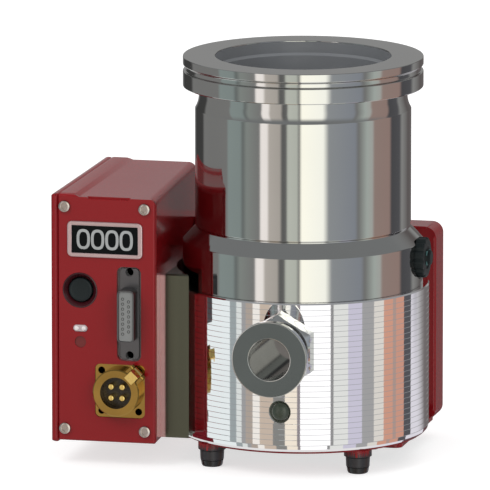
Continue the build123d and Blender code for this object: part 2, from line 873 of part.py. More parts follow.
# Base plate: a disc under the housing, a stiffening plate and four foot bosses
with BuildPart() as base_plate:
    with BuildSketch(Plane.XY.offset(plate_mid_z)):
        Circle(plate_disc_r)
    extrude(amount=plate_disc_t)
    with BuildSketch(Plane.XY.offset(plate_bottom_z)) as stiffener:
        with Locations((0, (plate_front_y + rear_front_y) / 2)):
            Rectangle(2 * plate_half_w, rear_front_y - plate_front_y)
        fillet(stiffener.vertices().group_by(Axis.Y)[0], plate_corner_r)
    extrude(amount=plate_t)
    with BuildSketch(Plane.XY.offset(foot_boss_z)):
        with GridLocations(2 * foot_x, 2 * foot_y, 2, 2):
            Circle(foot_boss_r)
    extrude(amount=plate_mid_z - foot_boss_z)
    with BuildSketch(Plane.XY.offset(foot_boss_z)):
        with GridLocations(2 * foot_x, 2 * foot_y, 2, 2):
            Circle(foot_stud_r + screw_play)
        with GridLocations(2 * base_screw_x, 2 * base_screw_y, 2, 2):
            Circle(base_screw_r + screw_play)
    extrude(amount=plate_top_z - foot_boss_z, mode=Mode.SUBTRACT)
write(base_plate, "base_plate")

screw = make_screw(base_screw_r, plate_top_z - plate_bottom_z + base_thread_depth - 1, base_head_r, base_head_h)
with BuildPart() as base_screws:
    with Locations((0, 0, plate_bottom_z)):
        with GridLocations(2 * base_screw_x, 2 * base_screw_y, 2, 2):
            add(screw.part)
write(base_screws, "base_screws")

# Tapered rubber feet on threaded studs
with BuildPart() as foot:
    with BuildSketch(Plane.XZ):
        with BuildLine():
            Polyline(
                (0, foot_boss_z),
                (foot_r, foot_boss_z),
                (foot_toe_r + 2 * slip, foot_bottom_z + foot_ring_h),
                (foot_toe_r, foot_bottom_z + foot_ring_h),
                (foot_toe_r, foot_bottom_z + relief),
                (foot_toe_r - relief, foot_bottom_z),
                (0, foot_bottom_z),
                close=True,
            )
        make_face()
    revolve(axis=Axis.Z)
    with BuildSketch(Plane.XY.offset(foot_boss_z)):
        Circle(foot_stud_r)
    extrude(amount=-foot_stud_sink, mode=Mode.SUBTRACT)
with BuildPart() as rubber_feet:
    with GridLocations(2 * foot_x, 2 * foot_y, 2, 2):
        add(foot.part)
write(rubber_feet, "rubber_feet")

with BuildPart() as foot_studs:
    with BuildSketch(Plane.XY.offset(foot_boss_z - foot_stud_sink)):
        with GridLocations(2 * foot_x, 2 * foot_y, 2, 2):
            Circle(foot_stud_r)
    extrude(amount=plate_top_z - foot_boss_z + foot_stud_sink + foot_thread_depth - 1)
write(foot_studs, "foot_studs")

# ================================================================ drive case


def case_section(y, wall, left_x):
    """Outline of the drive case across its depth, drawn inwards by a wall."""
    right_x = case_side_x(y) - wall
    top_z = case_top_z - wall
    edge = max(case_edge_r - wall, relief)
    with BuildSketch(front(y)) as section:
        with BuildLine():
            Polyline(
                (right_x - edge, top_z),
                (left_x, top_z),
                (left_x, case_bottom_z + wall),
                (right_x, case_bottom_z + wall),
                (right_x, top_z - edge),
            )
            TangentArc((right_x, top_z - edge), (right_x - edge, top_z), tangent=(0, 1))
        make_face()
    return section


inner_back_y = case_back_y - case_wall
outer_sections = [case_section(y, 0, panel_left_x) for y in (panel_back_y, case_back_y)]
inner_sections = [case_section(y, case_wall, panel_left_x) for y in (panel_back_y, inner_back_y)]
strip_end_x = case_left_x + strip_w

# Drive case: top, right, bottom and back walls in one casting, open at the
# front and on the left, with blocks for the screws of both covers
with BuildPart() as drive_case:
    add([section.sketch for section in outer_sections])
    loft()
    with BuildSketch(front(panel_back_y)):
        with BuildLine():
            Polyline(
                (panel_left_x, case_top_z),
                (panel_left_x, top_strip_z),
                (strip_end_x, top_strip_z),
                (strip_end_x + strip_slope, case_top_z),
                close=True,
            )
        make_face()
    extrude(amount=panel_back_y - case_back_y)
    add([section.sketch for section in inner_sections])
    loft(mode=Mode.SUBTRACT)
    with BuildSketch(front(panel_back_y)):
        for screw_x in corner_screw_x:
            for screw_z in corner_screw_z:
                with Locations((screw_x, screw_z)):
                    Rectangle(corner_block_w, corner_block_h)
    extrude(amount=-corner_block_l)
    with BuildSketch(front(inner_back_y)):
        for screw_z in corner_screw_z:
            with Locations((corner_screw_x[0], screw_z)):
                Rectangle(corner_block_w, corner_block_h)
    extrude(amount=2 * (inner_back_y - side_screw_y[1]))
    # threads for the panel screws and the side cover's screws
    with BuildSketch(front(panel_back_y)):
        for screw_x in corner_screw_x:
            for screw_z in corner_screw_z:
                with Locations((screw_x, screw_z)):
                    Circle(screw_r + thread_fit)
    extrude(amount=-screw_l, mode=Mode.SUBTRACT)
    with BuildSketch(Plane.YZ.offset(panel_left_x)):
        for screw_y in side_screw_y:
            for screw_z in corner_screw_z:
                with Locations((screw_y, screw_z)):
                    Circle(screw_r + thread_fit)
    extrude(amount=corner_block_w, mode=Mode.SUBTRACT)
    # holes for the screws into the adapter block
    with BuildSketch(Plane.YZ.offset(case_right_x)):
        for screw_z in adapter_screw_z:
            with Locations((-adapter_screw_y, screw_z), (adapter_screw_y, screw_z)):
                Circle(adapter_screw_r + screw_play)
    extrude(amount=-(case_right_x - case_back_right_x + 2 * case_wall), mode=Mode.SUBTRACT)
write(drive_case, "drive_case")

# Side cover: a flat plate with posts for the control board
with BuildPart() as side_cover:
    cover_h = top_strip_z - low_strip_z
    with BuildSketch(Plane.YZ.offset(case_left_x)):
        with Locations(((case_front_y + case_back_y) / 2, (top_strip_z + low_strip_z) / 2)):
            Rectangle(case_back_y - case_front_y, cover_h)
    extrude(amount=cover_wall)
    chamfer(side_cover.faces().sort_by(Axis.X)[0].edges(), relief)
    post_y = [board_y[0] + board_inset, board_y[1] - board_inset]
    post_z = [board_z[0] + board_inset, board_z[1] - board_inset]
    with BuildSketch(Plane.YZ.offset(panel_left_x)):
        for y in post_y:
            for z in post_z:
                with Locations((y, z)):
                    Circle(post_r)
    extrude(amount=board_x - panel_left_x)
    with BuildSketch(Plane.YZ.offset(case_left_x)):
        for screw_y in side_screw_y:
            for screw_z in corner_screw_z:
                with Locations((screw_y, screw_z)):
                    Circle(screw_r + screw_play)
    extrude(amount=cover_wall, mode=Mode.SUBTRACT)
write(side_cover, "side_cover")

# Front panel with its raised corner strip, shallow notch and all cut-outs
with BuildPart() as front_panel:
    with BuildSketch(front(panel_back_y)):
        with BuildLine():
            Polyline(
                (panel_left_x, case_bottom_z),
                (panel_left_x, top_strip_z),
                (strip_end_x, top_strip_z),
                (strip_end_x + strip_slope, case_top_z),
                (panel_notch_x[0], case_top_z),
                (panel_notch_x[0] + panel_notch_h, case_top_z - panel_notch_h),
                (panel_notch_x[1] - panel_notch_h, case_top_z - panel_notch_h),
                (panel_notch_x[1], case_top_z),
                (case_right_x - case_edge_r / 2, case_top_z),
                (case_right_x, case_top_z - case_edge_r / 2),
                (case_right_x, case_bottom_z),
                close=True,
            )
        make_face()
        with Locations((display_x, display_z)):
            Rectangle(display_w + 2 * slip, display_h + 2 * slip, mode=Mode.SUBTRACT)
        with Locations((button_x, button_z)):
            Circle(bezel_r + slip, mode=Mode.SUBTRACT)
        with Locations((light_x, status_z)):
            SlotOverall(status_w + slip, status_h + slip, mode=Mode.SUBTRACT)
        with Locations((light_x, fault_z)):
            Circle(fault_r + slip / 2, mode=Mode.SUBTRACT)
        with Locations((signal_x, signal_z)):
            RectangleRounded(signal_slot_w, signal_slot_h, signal_slot_r, mode=Mode.SUBTRACT)
        with Locations((power_x, power_z)):
            RectangleRounded(power_w, power_h, power_r, mode=Mode.SUBTRACT)
        for screw_x in corner_screw_x:
            for screw_z in corner_screw_z:
                with Locations((screw_x, screw_z)):
                    Circle(screw_r + screw_play, mode=Mode.SUBTRACT)
    extrude(amount=panel_t)
write(front_panel, "front_panel")

# Adapter block between the drive case and the round housing
with BuildPart() as adapter_block:
    with BuildSketch(Plane.XY.offset(housing_bottom_z)):
        with BuildLine():
            Polyline(
                (case_side_x(-adapter_half_y), -adapter_half_y),
                (-housing_r + adapter_half_y / 2, -adapter_half_y),
                (-housing_r + adapter_half_y / 2, adapter_half_y),
                (case_side_x(adapter_half_y), adapter_half_y),
                close=True,
            )
        make_face()
        Circle(housing_r, mode=Mode.SUBTRACT)
    extrude(amount=adapter_top_z - housing_bottom_z)
    chamfer(adapter_block.faces().sort_by(Axis.Z)[-1].edges().filter_by(Axis.X), adapter_edge)
    with BuildSketch(Plane.YZ.offset(-housing_r + adapter_half_y / 2)):
        for screw_z in adapter_screw_z:
            with Locations((-adapter_screw_y, screw_z), (adapter_screw_y, screw_z)):
                Circle(adapter_screw_r + screw_play)
    extrude(amount=-adapter_half_y, mode=Mode.SUBTRACT)
write(adapter_block, "adapter_block")

with BuildPart() as adapter_screws:
    for screw_y in (-adapter_screw_y, adapter_screw_y):
        seat_x = case_side_x(screw_y) - case_wall - adapter_seat_gap
        screw = make_screw(adapter_screw_r, adapter_screw_end_x - seat_x, adapter_head_r, adapter_head_h)
        for screw_z in adapter_screw_z:
            with Locations(Plane((seat_x, screw_y, screw_z), z_dir=(1, 0, 0))):
                add(screw.part)
write(adapter_screws, "adapter_screws")

# Rear drive housing behind the pump, hollowed to the pump's round body
with BuildPart() as rear_housing:
    with BuildSketch(front(rear_front_y)):
        with Locations(((rear_left_x + rear_right_x) / 2, (rear_top_z + rear_bottom_z) / 2)):
            RectangleRounded(rear_right_x - rear_left_x, rear_top_z - rear_bottom_z, rear_corner_r)
    extrude(amount=rear_front_y - rear_back_y)
    fillet(rear_housing.faces().sort_by(Axis.Y)[-1].edges(), rear_edge_r)
    with BuildSketch(Plane.XY.offset(rear_bottom_z)):
        Circle(housing_r + slip)
        with BuildLine():
            Polyline(
                (case_side_x(rear_front_y - 1), rear_front_y - 1),
                (case_back_right_x, case_back_y),
                (rear_left_x - rear_corner_r, case_back_y),
                (rear_left_x - rear_corner_r, rear_front_y - 1),
                close=True,
            )
        make_face()
    extrude(amount=rear_top_z - rear_bottom_z, mode=Mode.SUBTRACT)
    with BuildSketch(front(rear_back_y)):
        for screw_x in (rear_left_x + rear_screw_inset, rear_right_x - rear_screw_inset):
            for screw_z in (rear_bottom_z + rear_screw_inset, rear_top_z - rear_screw_inset):
                with Locations((screw_x, screw_z)):
                    Circle(screw_r + thread_fit)
    extrude(amount=screw_l, mode=Mode.SUBTRACT)
write(rear_housing, "rear_housing")

# Small screws: four in the front panel, four in the side cover, four in the back
small_screw = make_screw(screw_r, screw_l - 1, screw_head_r, screw_head_h)
panel_spots = [
    Plane((x, case_front_y, z), z_dir=(0, 1, 0)) for x in corner_screw_x for z in corner_screw_z
]
side_spots = [Plane((case_left_x, y, z), z_dir=(1, 0, 0)) for y in side_screw_y for z in corner_screw_z]
back_spots = [
    Plane((x, rear_back_y, z), z_dir=(0, -1, 0))
    for x in (rear_left_x + rear_screw_inset, rear_right_x - rear_screw_inset)
    for z in (rear_bottom_z + rear_screw_inset, rear_top_z - rear_screw_inset)
]
for name, spots in (("panel_screws", panel_spots), ("side_screws", side_spots), ("back_screws", back_spots)):
    with BuildPart() as screws:
        with Locations(*spots):
            add(small_screw.part)
    write(screws, name)

# ================================================================ operating panel

# Display: bezel frame, smoked window and the module behind them
with BuildPart() as display_frame:
    with BuildSketch(front(case_front_y)):
        with Locations((display_x, display_z)):
            RectangleRounded(frame_w, frame_h, frame_r)
            Rectangle(display_w, display_h, mode=Mode.SUBTRACT)
    extrude(amount=frame_t)
    chamfer(display_frame.faces().sort_by(Axis.Y)[0].outer_wire().edges(), frame_t / 3)
write(display_frame, "display_frame")

with BuildPart() as display_window:
    with BuildSketch(front(panel_back_y)):
        with Locations((display_x, display_z)):
            Rectangle(display_w - slip, display_h - slip)
    extrude(amount=panel_t + frame_t - window_back)
write(display_window, "display_window")

with BuildPart() as display_module:
    with BuildSketch(front(panel_back_y)):
        with Locations((display_x, display_z)):
            Rectangle(frame_w, frame_h)
    extrude(amount=-module_t)
write(display_module, "display_module")

# Start button: sprung cap in a dished bezel, with its switch behind
with BuildPart() as button_bezel:
    with BuildSketch(Plane((button_x, 0, button_z), x_dir=(1, 0, 0), z_dir=(0, 0, 1))):
        with BuildLine():
            Polyline(
                (bezel_r, case_front_y),
                (bezel_r - relief, case_front_y - relief / 2),
                (cap_r + move_gap, case_front_y + bezel_dish),
                (cap_r + move_gap, case_front_y + bezel_l),
                (bezel_r, case_front_y + bezel_l),
                close=True,
            )
        make_face()
    revolve(axis=Axis((button_x, 0, button_z), (0, 1, 0)))
write(button_bezel, "button_bezel")

with BuildPart() as start_button:
    with BuildSketch(front(case_front_y + cap_sink)):
        with Locations((button_x, button_z)):
            Circle(cap_r)
    extrude(amount=-cap_l)
    fillet(start_button.faces().sort_by(Axis.Y)[0].edges(), 2 * relief)
write(start_button, "start_button")

with BuildPart() as button_switch:
    with BuildSketch(front(case_front_y + bezel_l)):
        with Locations((button_x, button_z)):
            Rectangle(2 * bezel_r, switch_w)
            Circle(cap_r + move_gap, mode=Mode.SUBTRACT)
    extrude(amount=-(cap_l - bezel_l + 2))
    with BuildSketch(front(case_front_y + cap_l + 2)):
        with Locations((button_x, button_z)):
            Rectangle(2 * bezel_r, switch_w)
    extrude(amount=-switch_l)
write(button_switch, "button_switch")

# Status lights: a white pill and a small red lens below it
with BuildPart() as status_light:
    with BuildSketch(front(case_front_y + light_l)):
        with Locations((light_x, status_z)):
            SlotOverall(status_w, status_h)
    extrude(amount=light_l + relief)
write(status_light, "status_light")

with BuildPart() as fault_light:
    with BuildSketch(front(case_front_y + light_l)):
        with Locations((light_x, fault_z)):
            Circle(fault_r)
    extrude(amount=light_l - relief)
write(fault_light, "fault_light")

# Signal connector: pressed steel shell with its screw flange
with BuildPart() as signal_shell:
    with BuildSketch(front(panel_back_y)):
        with Locations((signal_x, signal_z)):
            RectangleRounded(signal_plate_w, signal_plate_h, signal_slot_r - 1)
            with GridLocations(1, signal_screw_pitch, 1, 2):
                Circle(signal_hole_r, mode=Mode.SUBTRACT)
    extrude(amount=signal_plate_t)
    with BuildSketch(front(panel_back_y)):
        with Locations((signal_x, signal_z)):
            RectangleRounded(shell_w, shell_h, shell_r)
    extrude(amount=panel_t + shell_out)
    with BuildSketch(front(panel_back_y)):
        with Locations((signal_x, signal_z)):
            RectangleRounded(shell_w - 2 * shell_wall, shell_h - 2 * shell_wall, shell_r - shell_wall)
    extrude(amount=panel_t + shell_out, mode=Mode.SUBTRACT)
write(signal_shell, "signal_shell")

# Its moulded insert, with the mounting body behind the panel
with BuildPart() as signal_insert:
    with BuildSketch(front(panel_back_y)):
        with Locations((signal_x, signal_z)):
            RectangleRounded(shell_w - 2 * shell_wall, shell_h - 2 * shell_wall, shell_r - shell_wall)
    extrude(amount=panel_t + shell_out - insert_step)
    with BuildSketch(front(panel_back_y)):
        with Locations((signal_x, signal_z)):
            RectangleRounded(signal_slot_w + 2, signal_slot_h + 2, 1)
            with GridLocations(1, signal_screw_pitch, 1, 2):
                Circle(signal_hole_r, mode=Mode.SUBTRACT)
    extrude(amount=-case_wall)
    with BuildSketch(front(panel_back_y + case_wall)):
        with Locations((signal_x, signal_z)):
            Rectangle(shell_w, shell_h)
    extrude(amount=-signal_body_l)
write(signal_insert, "signal_insert")

# Power connector: square brass flange, round socket and the ears of its latch
turn = radians(latch_angle)
pivot = (socket_x + latch_pivot_r * cos(turn), latch_pivot_y, socket_z + latch_pivot_r * sin(turn))
radial = (cos(turn), 0, sin(turn))
tangent = (-sin(turn), 0, cos(turn))
latch_plane = Plane(pivot, x_dir=radial, z_dir=tangent)
flange_front_y = case_front_y + power_sink
with BuildPart() as power_socket:
    with BuildSketch(front(flange_front_y)):
        with Locations((power_x, power_z)):
            RectangleRounded(power_w - 2 * slip, power_h - 2 * slip, power_r - slip)
            with GridLocations(power_w - 2 * power_hole_inset, power_h - 2 * power_hole_inset, 2, 2):
                Circle(power_hole_r, mode=Mode.SUBTRACT)
    extrude(amount=-power_flange_t)
    with BuildSketch(front(case_front_y - socket_out)):
        with Locations((socket_x, socket_z)):
            Circle(socket_r)
    extrude(amount=-(socket_out + power_sink))
    chamfer(power_socket.faces().sort_by(Axis.Y)[0].edges(), relief)
    with BuildSketch(front(flange_front_y + power_flange_t)):
        with Locations((socket_x, socket_z)):
            Circle(socket_r - power_r / 2)
    extrude(amount=-socket_body_l)
    ear_half = latch_w / 2 + move_gap
    ear_root = latch_pivot_r - socket_r + 1
    for ear_start in (-ear_half - ear_t, ear_half):
        with BuildSketch(latch_plane.offset(ear_start)):
            with Locations((-ear_root / 2, 0)):
                Rectangle(ear_root, ear_l)
            Circle(ear_l / 2)
        extrude(amount=ear_t)
    with BuildSketch(latch_plane.offset(-ear_half)):
        Circle(latch_pin_r)
    extrude(amount=2 * ear_half)
    with BuildSketch(front(case_front_y - socket_out)):
        with Locations((socket_x, socket_z)):
            Circle(socket_bore_r)
    extrude(amount=-(socket_floor_y - case_front_y + socket_out), mode=Mode.SUBTRACT)
write(power_socket, "power_socket")

# Insulator and the four contact pins in the socket
with BuildPart() as power_insulator:
    with BuildSketch(front(socket_floor_y)):
        with Locations((socket_x, socket_z)):
            Circle(socket_bore_r - thread_fit)
            with PolarLocations(power_pin_pitch_r, 4, start_angle=45):
                Circle(power_pin_r + thread_fit, mode=Mode.SUBTRACT)
    extrude(amount=insulator_t)
write(power_insulator, "power_insulator")

with BuildPart() as power_pins:
    with BuildSketch(front(socket_floor_y)):
        with Locations((socket_x, socket_z)):
            with PolarLocations(power_pin_pitch_r, 4, start_angle=45):
                Circle(power_pin_r)
    extrude(amount=power_pin_l)
    fillet(power_pins.faces().group_by(Axis.Y)[0].edges(), power_pin_r / 2)
write(power_pins, "power_pins")

# Latch lever with its hook, turning on the pin between the ears
with BuildPart() as connector_latch:
    with BuildSketch(latch_plane.offset(-latch_w / 2)):
        with BuildLine():
            inner_x = latch_hook_r - latch_pivot_r
            Polyline(
                (-latch_t / 2, latch_back),
                (latch_t / 2, latch_back),
                (latch_t / 2, -latch_reach),
                (inner_x, -latch_reach),
                (inner_x, -latch_reach + latch_hook_t / 2),
                (-latch_t / 2, -latch_reach + latch_hook_t),
                close=True,
            )
        make_face()
        Circle(latch_t)
        Circle(latch_pin_r + latch_fit, mode=Mode.SUBTRACT)
    extrude(amount=latch_w)
write(connector_latch, "connector_latch")

# Control board on the side cover's posts, with its large parts
board_mid_y = (board_y[0] + board_y[1]) / 2
board_mid_z = (board_z[0] + board_z[1]) / 2
with BuildPart() as control_board:
    with BuildSketch(Plane.YZ.offset(board_x)):
        with Locations((board_mid_y, board_mid_z)):
            Rectangle(board_y[1] - board_y[0], board_z[1] - board_z[0])
    extrude(amount=board_t)
write(control_board, "control_board")

with BuildPart() as board_parts:
    with BuildSketch(Plane.YZ.offset(board_x + board_t)):
        with Locations((board_mid_y, board_z[1] - 2 * capacitor_r), (board_mid_y, board_z[1] - 5 * capacitor_r)):
            Circle(capacitor_r)
    extrude(amount=capacitor_l)
    with BuildSketch(Plane.YZ.offset(board_x + board_t)):
        with Locations((board_mid_y, board_z[0] + 4 * capacitor_r)):
            Rectangle(5 * capacitor_r, 4 * capacitor_r)
    extrude(amount=capacitor_l / 2)
write(board_parts, "board_parts")
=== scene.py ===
import bpy
import bmesh
from math import cos, hypot, pi, radians, sin, sqrt
from mathutils import Matrix, Vector


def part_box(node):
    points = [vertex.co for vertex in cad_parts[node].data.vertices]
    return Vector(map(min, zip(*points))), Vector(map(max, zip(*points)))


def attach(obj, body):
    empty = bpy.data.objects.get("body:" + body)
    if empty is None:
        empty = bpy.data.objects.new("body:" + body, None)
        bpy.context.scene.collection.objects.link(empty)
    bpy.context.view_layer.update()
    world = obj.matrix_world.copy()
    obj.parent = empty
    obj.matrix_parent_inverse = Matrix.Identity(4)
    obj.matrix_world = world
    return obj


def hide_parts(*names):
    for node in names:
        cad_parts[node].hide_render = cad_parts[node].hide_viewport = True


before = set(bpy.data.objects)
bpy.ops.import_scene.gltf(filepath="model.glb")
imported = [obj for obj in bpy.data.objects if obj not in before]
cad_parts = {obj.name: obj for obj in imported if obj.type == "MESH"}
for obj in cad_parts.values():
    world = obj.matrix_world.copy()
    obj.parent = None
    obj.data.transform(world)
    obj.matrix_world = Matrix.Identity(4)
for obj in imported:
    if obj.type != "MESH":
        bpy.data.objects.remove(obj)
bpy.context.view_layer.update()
scene = bpy.context.scene
mm = 0.001


# a socket that can be added, multiplied and compared
class Wire:
    def __init__(self, tree, socket):
        self.tree = tree
        self.socket = socket

    def math(self, operation, first, second=None):
        node = self.tree.nodes.new("ShaderNodeMath")
        node.operation = operation
        for place, value in enumerate((first, second)):
            if value is not None:
                plug(self.tree, node.inputs[place], value)
        return Wire(self.tree, node.outputs[0])

    def __add__(self, other):
        return self.math("ADD", self, other)

    def __radd__(self, other):
        return self.math("ADD", other, self)

    def __sub__(self, other):
        return self.math("SUBTRACT", self, other)

    def __mul__(self, other):
        return self.math("MULTIPLY", self, other)

    def __rmul__(self, other):
        return self.math("MULTIPLY", other, self)

    def __truediv__(self, other):
        return self.math("DIVIDE", self, other)

    def __pow__(self, other):
        return self.math("POWER", self, other)

    def __gt__(self, other):
        return self.math("GREATER_THAN", self, other)


def plug(tree, socket, value):
    if isinstance(value, Wire):
        tree.links.new(value.socket, socket)
    elif isinstance(value, bpy.types.NodeSocket):
        tree.links.new(value, socket)
    else:
        socket.default_value = value


class Board:
    def __init__(self, tree):
        self.tree = tree

    def add(self, kind, settings=None, sockets=None, out=0):
        # settings go first, because some of them change the sockets
        node = self.tree.nodes.new(kind)
        for key, value in (settings or {}).items():
            if key == "stops":
                fillRamp(node.color_ramp, value)
            elif key == "interpolation":
                node.color_ramp.interpolation = value
            else:
                setattr(node, key, value)
        for key, value in (sockets or {}).items():
            plug(self.tree, node.inputs[key], value)
        return Wire(self.tree, node.outputs[out]) if node.outputs else None

    def mix(self, factor, first, second):
        return self.add("ShaderNodeMix", {"data_type": "RGBA"}, {0: factor, 6: first, 7: second}, out=2)

    def split(self, vector):
        first = self.add("ShaderNodeSeparateXYZ", sockets={0: vector})
        return [Wire(self.tree, socket) for socket in first.socket.node.outputs]

    def fade(self, value, start, end):
        # a soft step from 0 at start to 1 at end
        return self.add("ShaderNodeMapRange", {"interpolation_type": "SMOOTHSTEP"}, {
            "Value": value, "From Min": start, "From Max": end})


def fillRamp(ramp, stops):
    while len(ramp.elements) > 1:
        ramp.elements.remove(ramp.elements[-1])
    ramp.elements[0].position = stops[0][0]
    ramp.elements[0].color = stops[0][1]
    for position, colour in stops[1:]:
        ramp.elements.new(position).color = colour


# a board on a new material, with its shader ready
class Finish(Board):
    def __init__(self, name, **constants):
        self.material = bpy.data.materials.new(name)
        self.material.use_nodes = True
        super().__init__(self.material.node_tree)
        self.shader = self.tree.nodes["Principled BSDF"]
        for key, value in constants.items():
            self.shader.inputs[key.replace("_", " ")].default_value = value
        self.place = self.add("ShaderNodeTexCoord", out=3)

    def noise(self, scale, detail=3.0, place=None, stretch=None):
        where = place or self.place
        if stretch:
            where = self.add("ShaderNodeMapping", sockets={"Vector": where, "Scale": stretch})
        return self.add("ShaderNodeTexNoise", sockets={"Vector": where, "Scale": scale, "Detail": detail})

    def turned(self, lines, around=2.0):
        # coordinates that run round the upright axis, for lathe marks
        x, y, z = self.split(self.place)
        radius = (x * x + y * y) ** 0.5
        return self.add("ShaderNodeCombineXYZ", sockets={0: radius * lines, 1: z * lines, 2: x * around})

    def set(self, name, value):
        plug(self.tree, self.shader.inputs[name], value)

    def bump(self, height, strength, distance):
        self.set("Normal", self.add("ShaderNodeBump", sockets={
            "Height": height, "Strength": strength, "Distance": distance}))


def grey(tone):
    return (tone, tone, tone, 1.0)


def shade(colour, factor):
    return (colour[0] * factor, colour[1] * factor, colour[2] * factor, 1.0)


# roughness from low to high, lathe lines a metre, and the height of the lines in metres
metalFinishes = {
    "casing_steel": {
        "colour": (0.49, 0.49, 0.475), "low": 0.035, "high": 0.07, "lines": 2600, "bump": 0.0000012},
    "housing_aluminium": {
        "colour": (0.93, 0.92, 0.93), "low": 0.03, "high": 0.06, "lines": 2200, "bump": 0.0000012},
}


def turnedMetal(slotName):
    values = metalFinishes[slotName]
    finish = Finish(slotName, Metallic=1.0)
    rings = finish.noise(1.0, 2.0, place=finish.turned(values["lines"]))
    smudge = finish.noise(38.0, 4.0)
    stain = smudge * 0.5 + rings * 0.15
    colour = values["colour"]
    finish.set("Base Color", finish.mix(stain, shade(colour, 1.04), shade(colour, 0.9)))
    low, high = values["low"], values["high"]
    finish.set("Roughness", low + (high - low) * (smudge * 0.6 + rings * 0.4))
    finish.bump(rings, 0.35, values["bump"])
    return finish.material


def plainMetal(slotName, colour, low, high, metallic=1.0, bump=0.000004, dirt=0.85):
    finish = Finish(slotName, Metallic=metallic)
    brushed = finish.noise(240.0, 3.0, stretch=(1, 1, 1))
    smudge = finish.noise(55.0, 4.0)
    finish.set("Base Color", finish.mix(smudge, shade(colour, 1.06), shade(colour, dirt)))
    finish.set("Roughness", low + (high - low) * (brushed * 0.6 + smudge * 0.4))
    finish.bump(brushed, 0.3, bump)
    return finish.material


paintValues = {
    "colour": (0.255, 0.0075, 0.011), "deep": (0.215, 0.006, 0.009),
    "low": 0.16, "high": 0.26, "peel": 0.000004,
}


def redPaint():
    finish = Finish("red_paint", IOR=1.3, Coat_Weight=0.6, Coat_Roughness=0.06, Coat_IOR=1.3)
    peel = finish.noise(900.0, 2.0)
    cloud = finish.noise(26.0, 4.0)
    speck = finish.noise(1500.0, 1.0) > 0.74
    colour = finish.mix(cloud, shade(paintValues["colour"], 1.05), shade(paintValues["deep"], 1.25))
    finish.set("Base Color", finish.mix(speck * 0.25, colour, shade(paintValues["deep"], 0.7)))
    low, high = paintValues["low"], paintValues["high"]
    finish.set("Roughness", low + (high - low) * cloud + speck * 0.1)
    finish.bump(peel, 0.25, paintValues["peel"])
    return finish.material


def softPlastic(slotName, colour, low, high, scale=500.0, bump=0.00001, **constants):
    finish = Finish(slotName, **constants)
    grain = finish.noise(scale, 3.0)
    cloud = finish.noise(60.0, 3.0)
    finish.set("Base Color", finish.mix(cloud, shade(colour, 1.15), shade(colour, 0.8)))
    finish.set("Roughness", low + (high - low) * (cloud * 0.5 + grain * 0.5))
    finish.bump(grain, 0.4, bump)
    return finish.material


footFinish = {"toeHeight": 2.55, "toe": (0.006, 0.006, 0.0065, 1), "body": (0.024, 0.022, 0.025, 1)}


def footRubber():
    # the lower ring of each foot is glossier and darker
    finish = Finish("rubber")
    height = finish.split(finish.place)[2]
    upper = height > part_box("rubber_feet")[0].z + footFinish["toeHeight"] * mm
    grain = finish.noise(700.0, 3.0)
    finish.set("Base Color", finish.mix(upper, footFinish["toe"], footFinish["body"]))
    finish.set("Roughness", 0.2 + upper * 0.12 + grain * 0.12)
    finish.bump(grain, 0.3, 0.000008)
    return finish.material


adapterFinish = {
    "reflectionWidth": 5.4, "softness": 0.5,
    # the pinkish strip colours are a painted reflection beside the red case
    "strip": ((0.78, 0.52, 0.52, 1), (0.7, 0.46, 0.47, 1)),
    "face": ((0.15, 0.155, 0.115, 1), (0.1, 0.105, 0.08, 1)),
}


def adapterMetal():
    # a pinkish strip beside the red case, which is a painted reflection, and a darker face beside the
    # housing
    finish = Finish("adapter_metal", Metallic=1.0)
    across = finish.split(finish.place)[0]
    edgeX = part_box("adapter_block")[0].x + adapterFinish["reflectionWidth"] * mm
    softness = adapterFinish["softness"] * mm
    side = finish.fade(across, edgeX - softness, edgeX + softness)
    grain = finish.noise(220.0, 3.0, stretch=(1, 1, 0.04))
    strip, face = (finish.mix(grain, *adapterFinish[part]) for part in ("strip", "face"))
    finish.set("Base Color", finish.mix(side, strip, face))
    finish.set("Roughness", 0.16 + grain * 0.14)
    finish.bump(grain, 0.3, 0.000004)
    return finish.material


# one finish for each of the part's own material slots
finishes = {
    "casing_steel": turnedMetal("casing_steel"),
    "housing_aluminium": turnedMetal("housing_aluminium"),
    "adapter_metal": adapterMetal(),
    "red_paint": redPaint(),
    "port_steel": plainMetal("port_steel", (0.62, 0.63, 0.62), 0.04, 0.1),
    "dark_plastic": softPlastic("dark_plastic", (0.022, 0.03, 0.03), 0.3, 0.45),
    "plug_rubber": softPlastic("plug_rubber", (0.05, 0.065, 0.045), 0.22, 0.35),
    "rubber": footRubber(),
    "screw_steel": plainMetal("screw_steel", (0.5, 0.44, 0.41), 0.18, 0.32),
    "rotor_metal": plainMetal("rotor_metal", (0.72, 0.73, 0.75), 0.2, 0.34),
    "carbon": softPlastic("carbon", (0.02, 0.02, 0.022), 0.3, 0.45),
    "bearing_steel": plainMetal("bearing_steel", (0.62, 0.62, 0.63), 0.1, 0.2),
    "winding": softPlastic("winding", (0.32, 0.1, 0.03), 0.3, 0.45),
    "cage_plastic": softPlastic("cage_plastic", (0.35, 0.22, 0.08), 0.35, 0.5),
    "felt": softPlastic("felt", (0.55, 0.5, 0.4), 0.85, 0.95, 900.0, 0.00006),
    # the frame's metal tone is its own, its pale pink tint is a painted reflection of the red panel round
    # it
    "frame_metal": plainMetal("frame_metal", (0.66, 0.5, 0.51), 0.3, 0.42, metallic=0.85),
    "window_black": softPlastic(
        "window_black", (0.002, 0.004, 0.0045), 0.06, 0.1, 300.0, 0.000001, IOR=1.2),
    "light_white": softPlastic("light_white", (0.66, 0.5, 0.5), 0.2, 0.3, Subsurface_Weight=0.2),
    "light_red": softPlastic("light_red", (0.16, 0.015, 0.015), 0.12, 0.2),
    "shell_metal": plainMetal("shell_metal", (0.5, 0.53, 0.54), 0.2, 0.32),
    "brass": plainMetal("brass", (0.5, 0.31, 0.08), 0.05, 0.14, dirt=0.3),
    "board_green": softPlastic("board_green", (0.02, 0.12, 0.05), 0.3, 0.4),
}

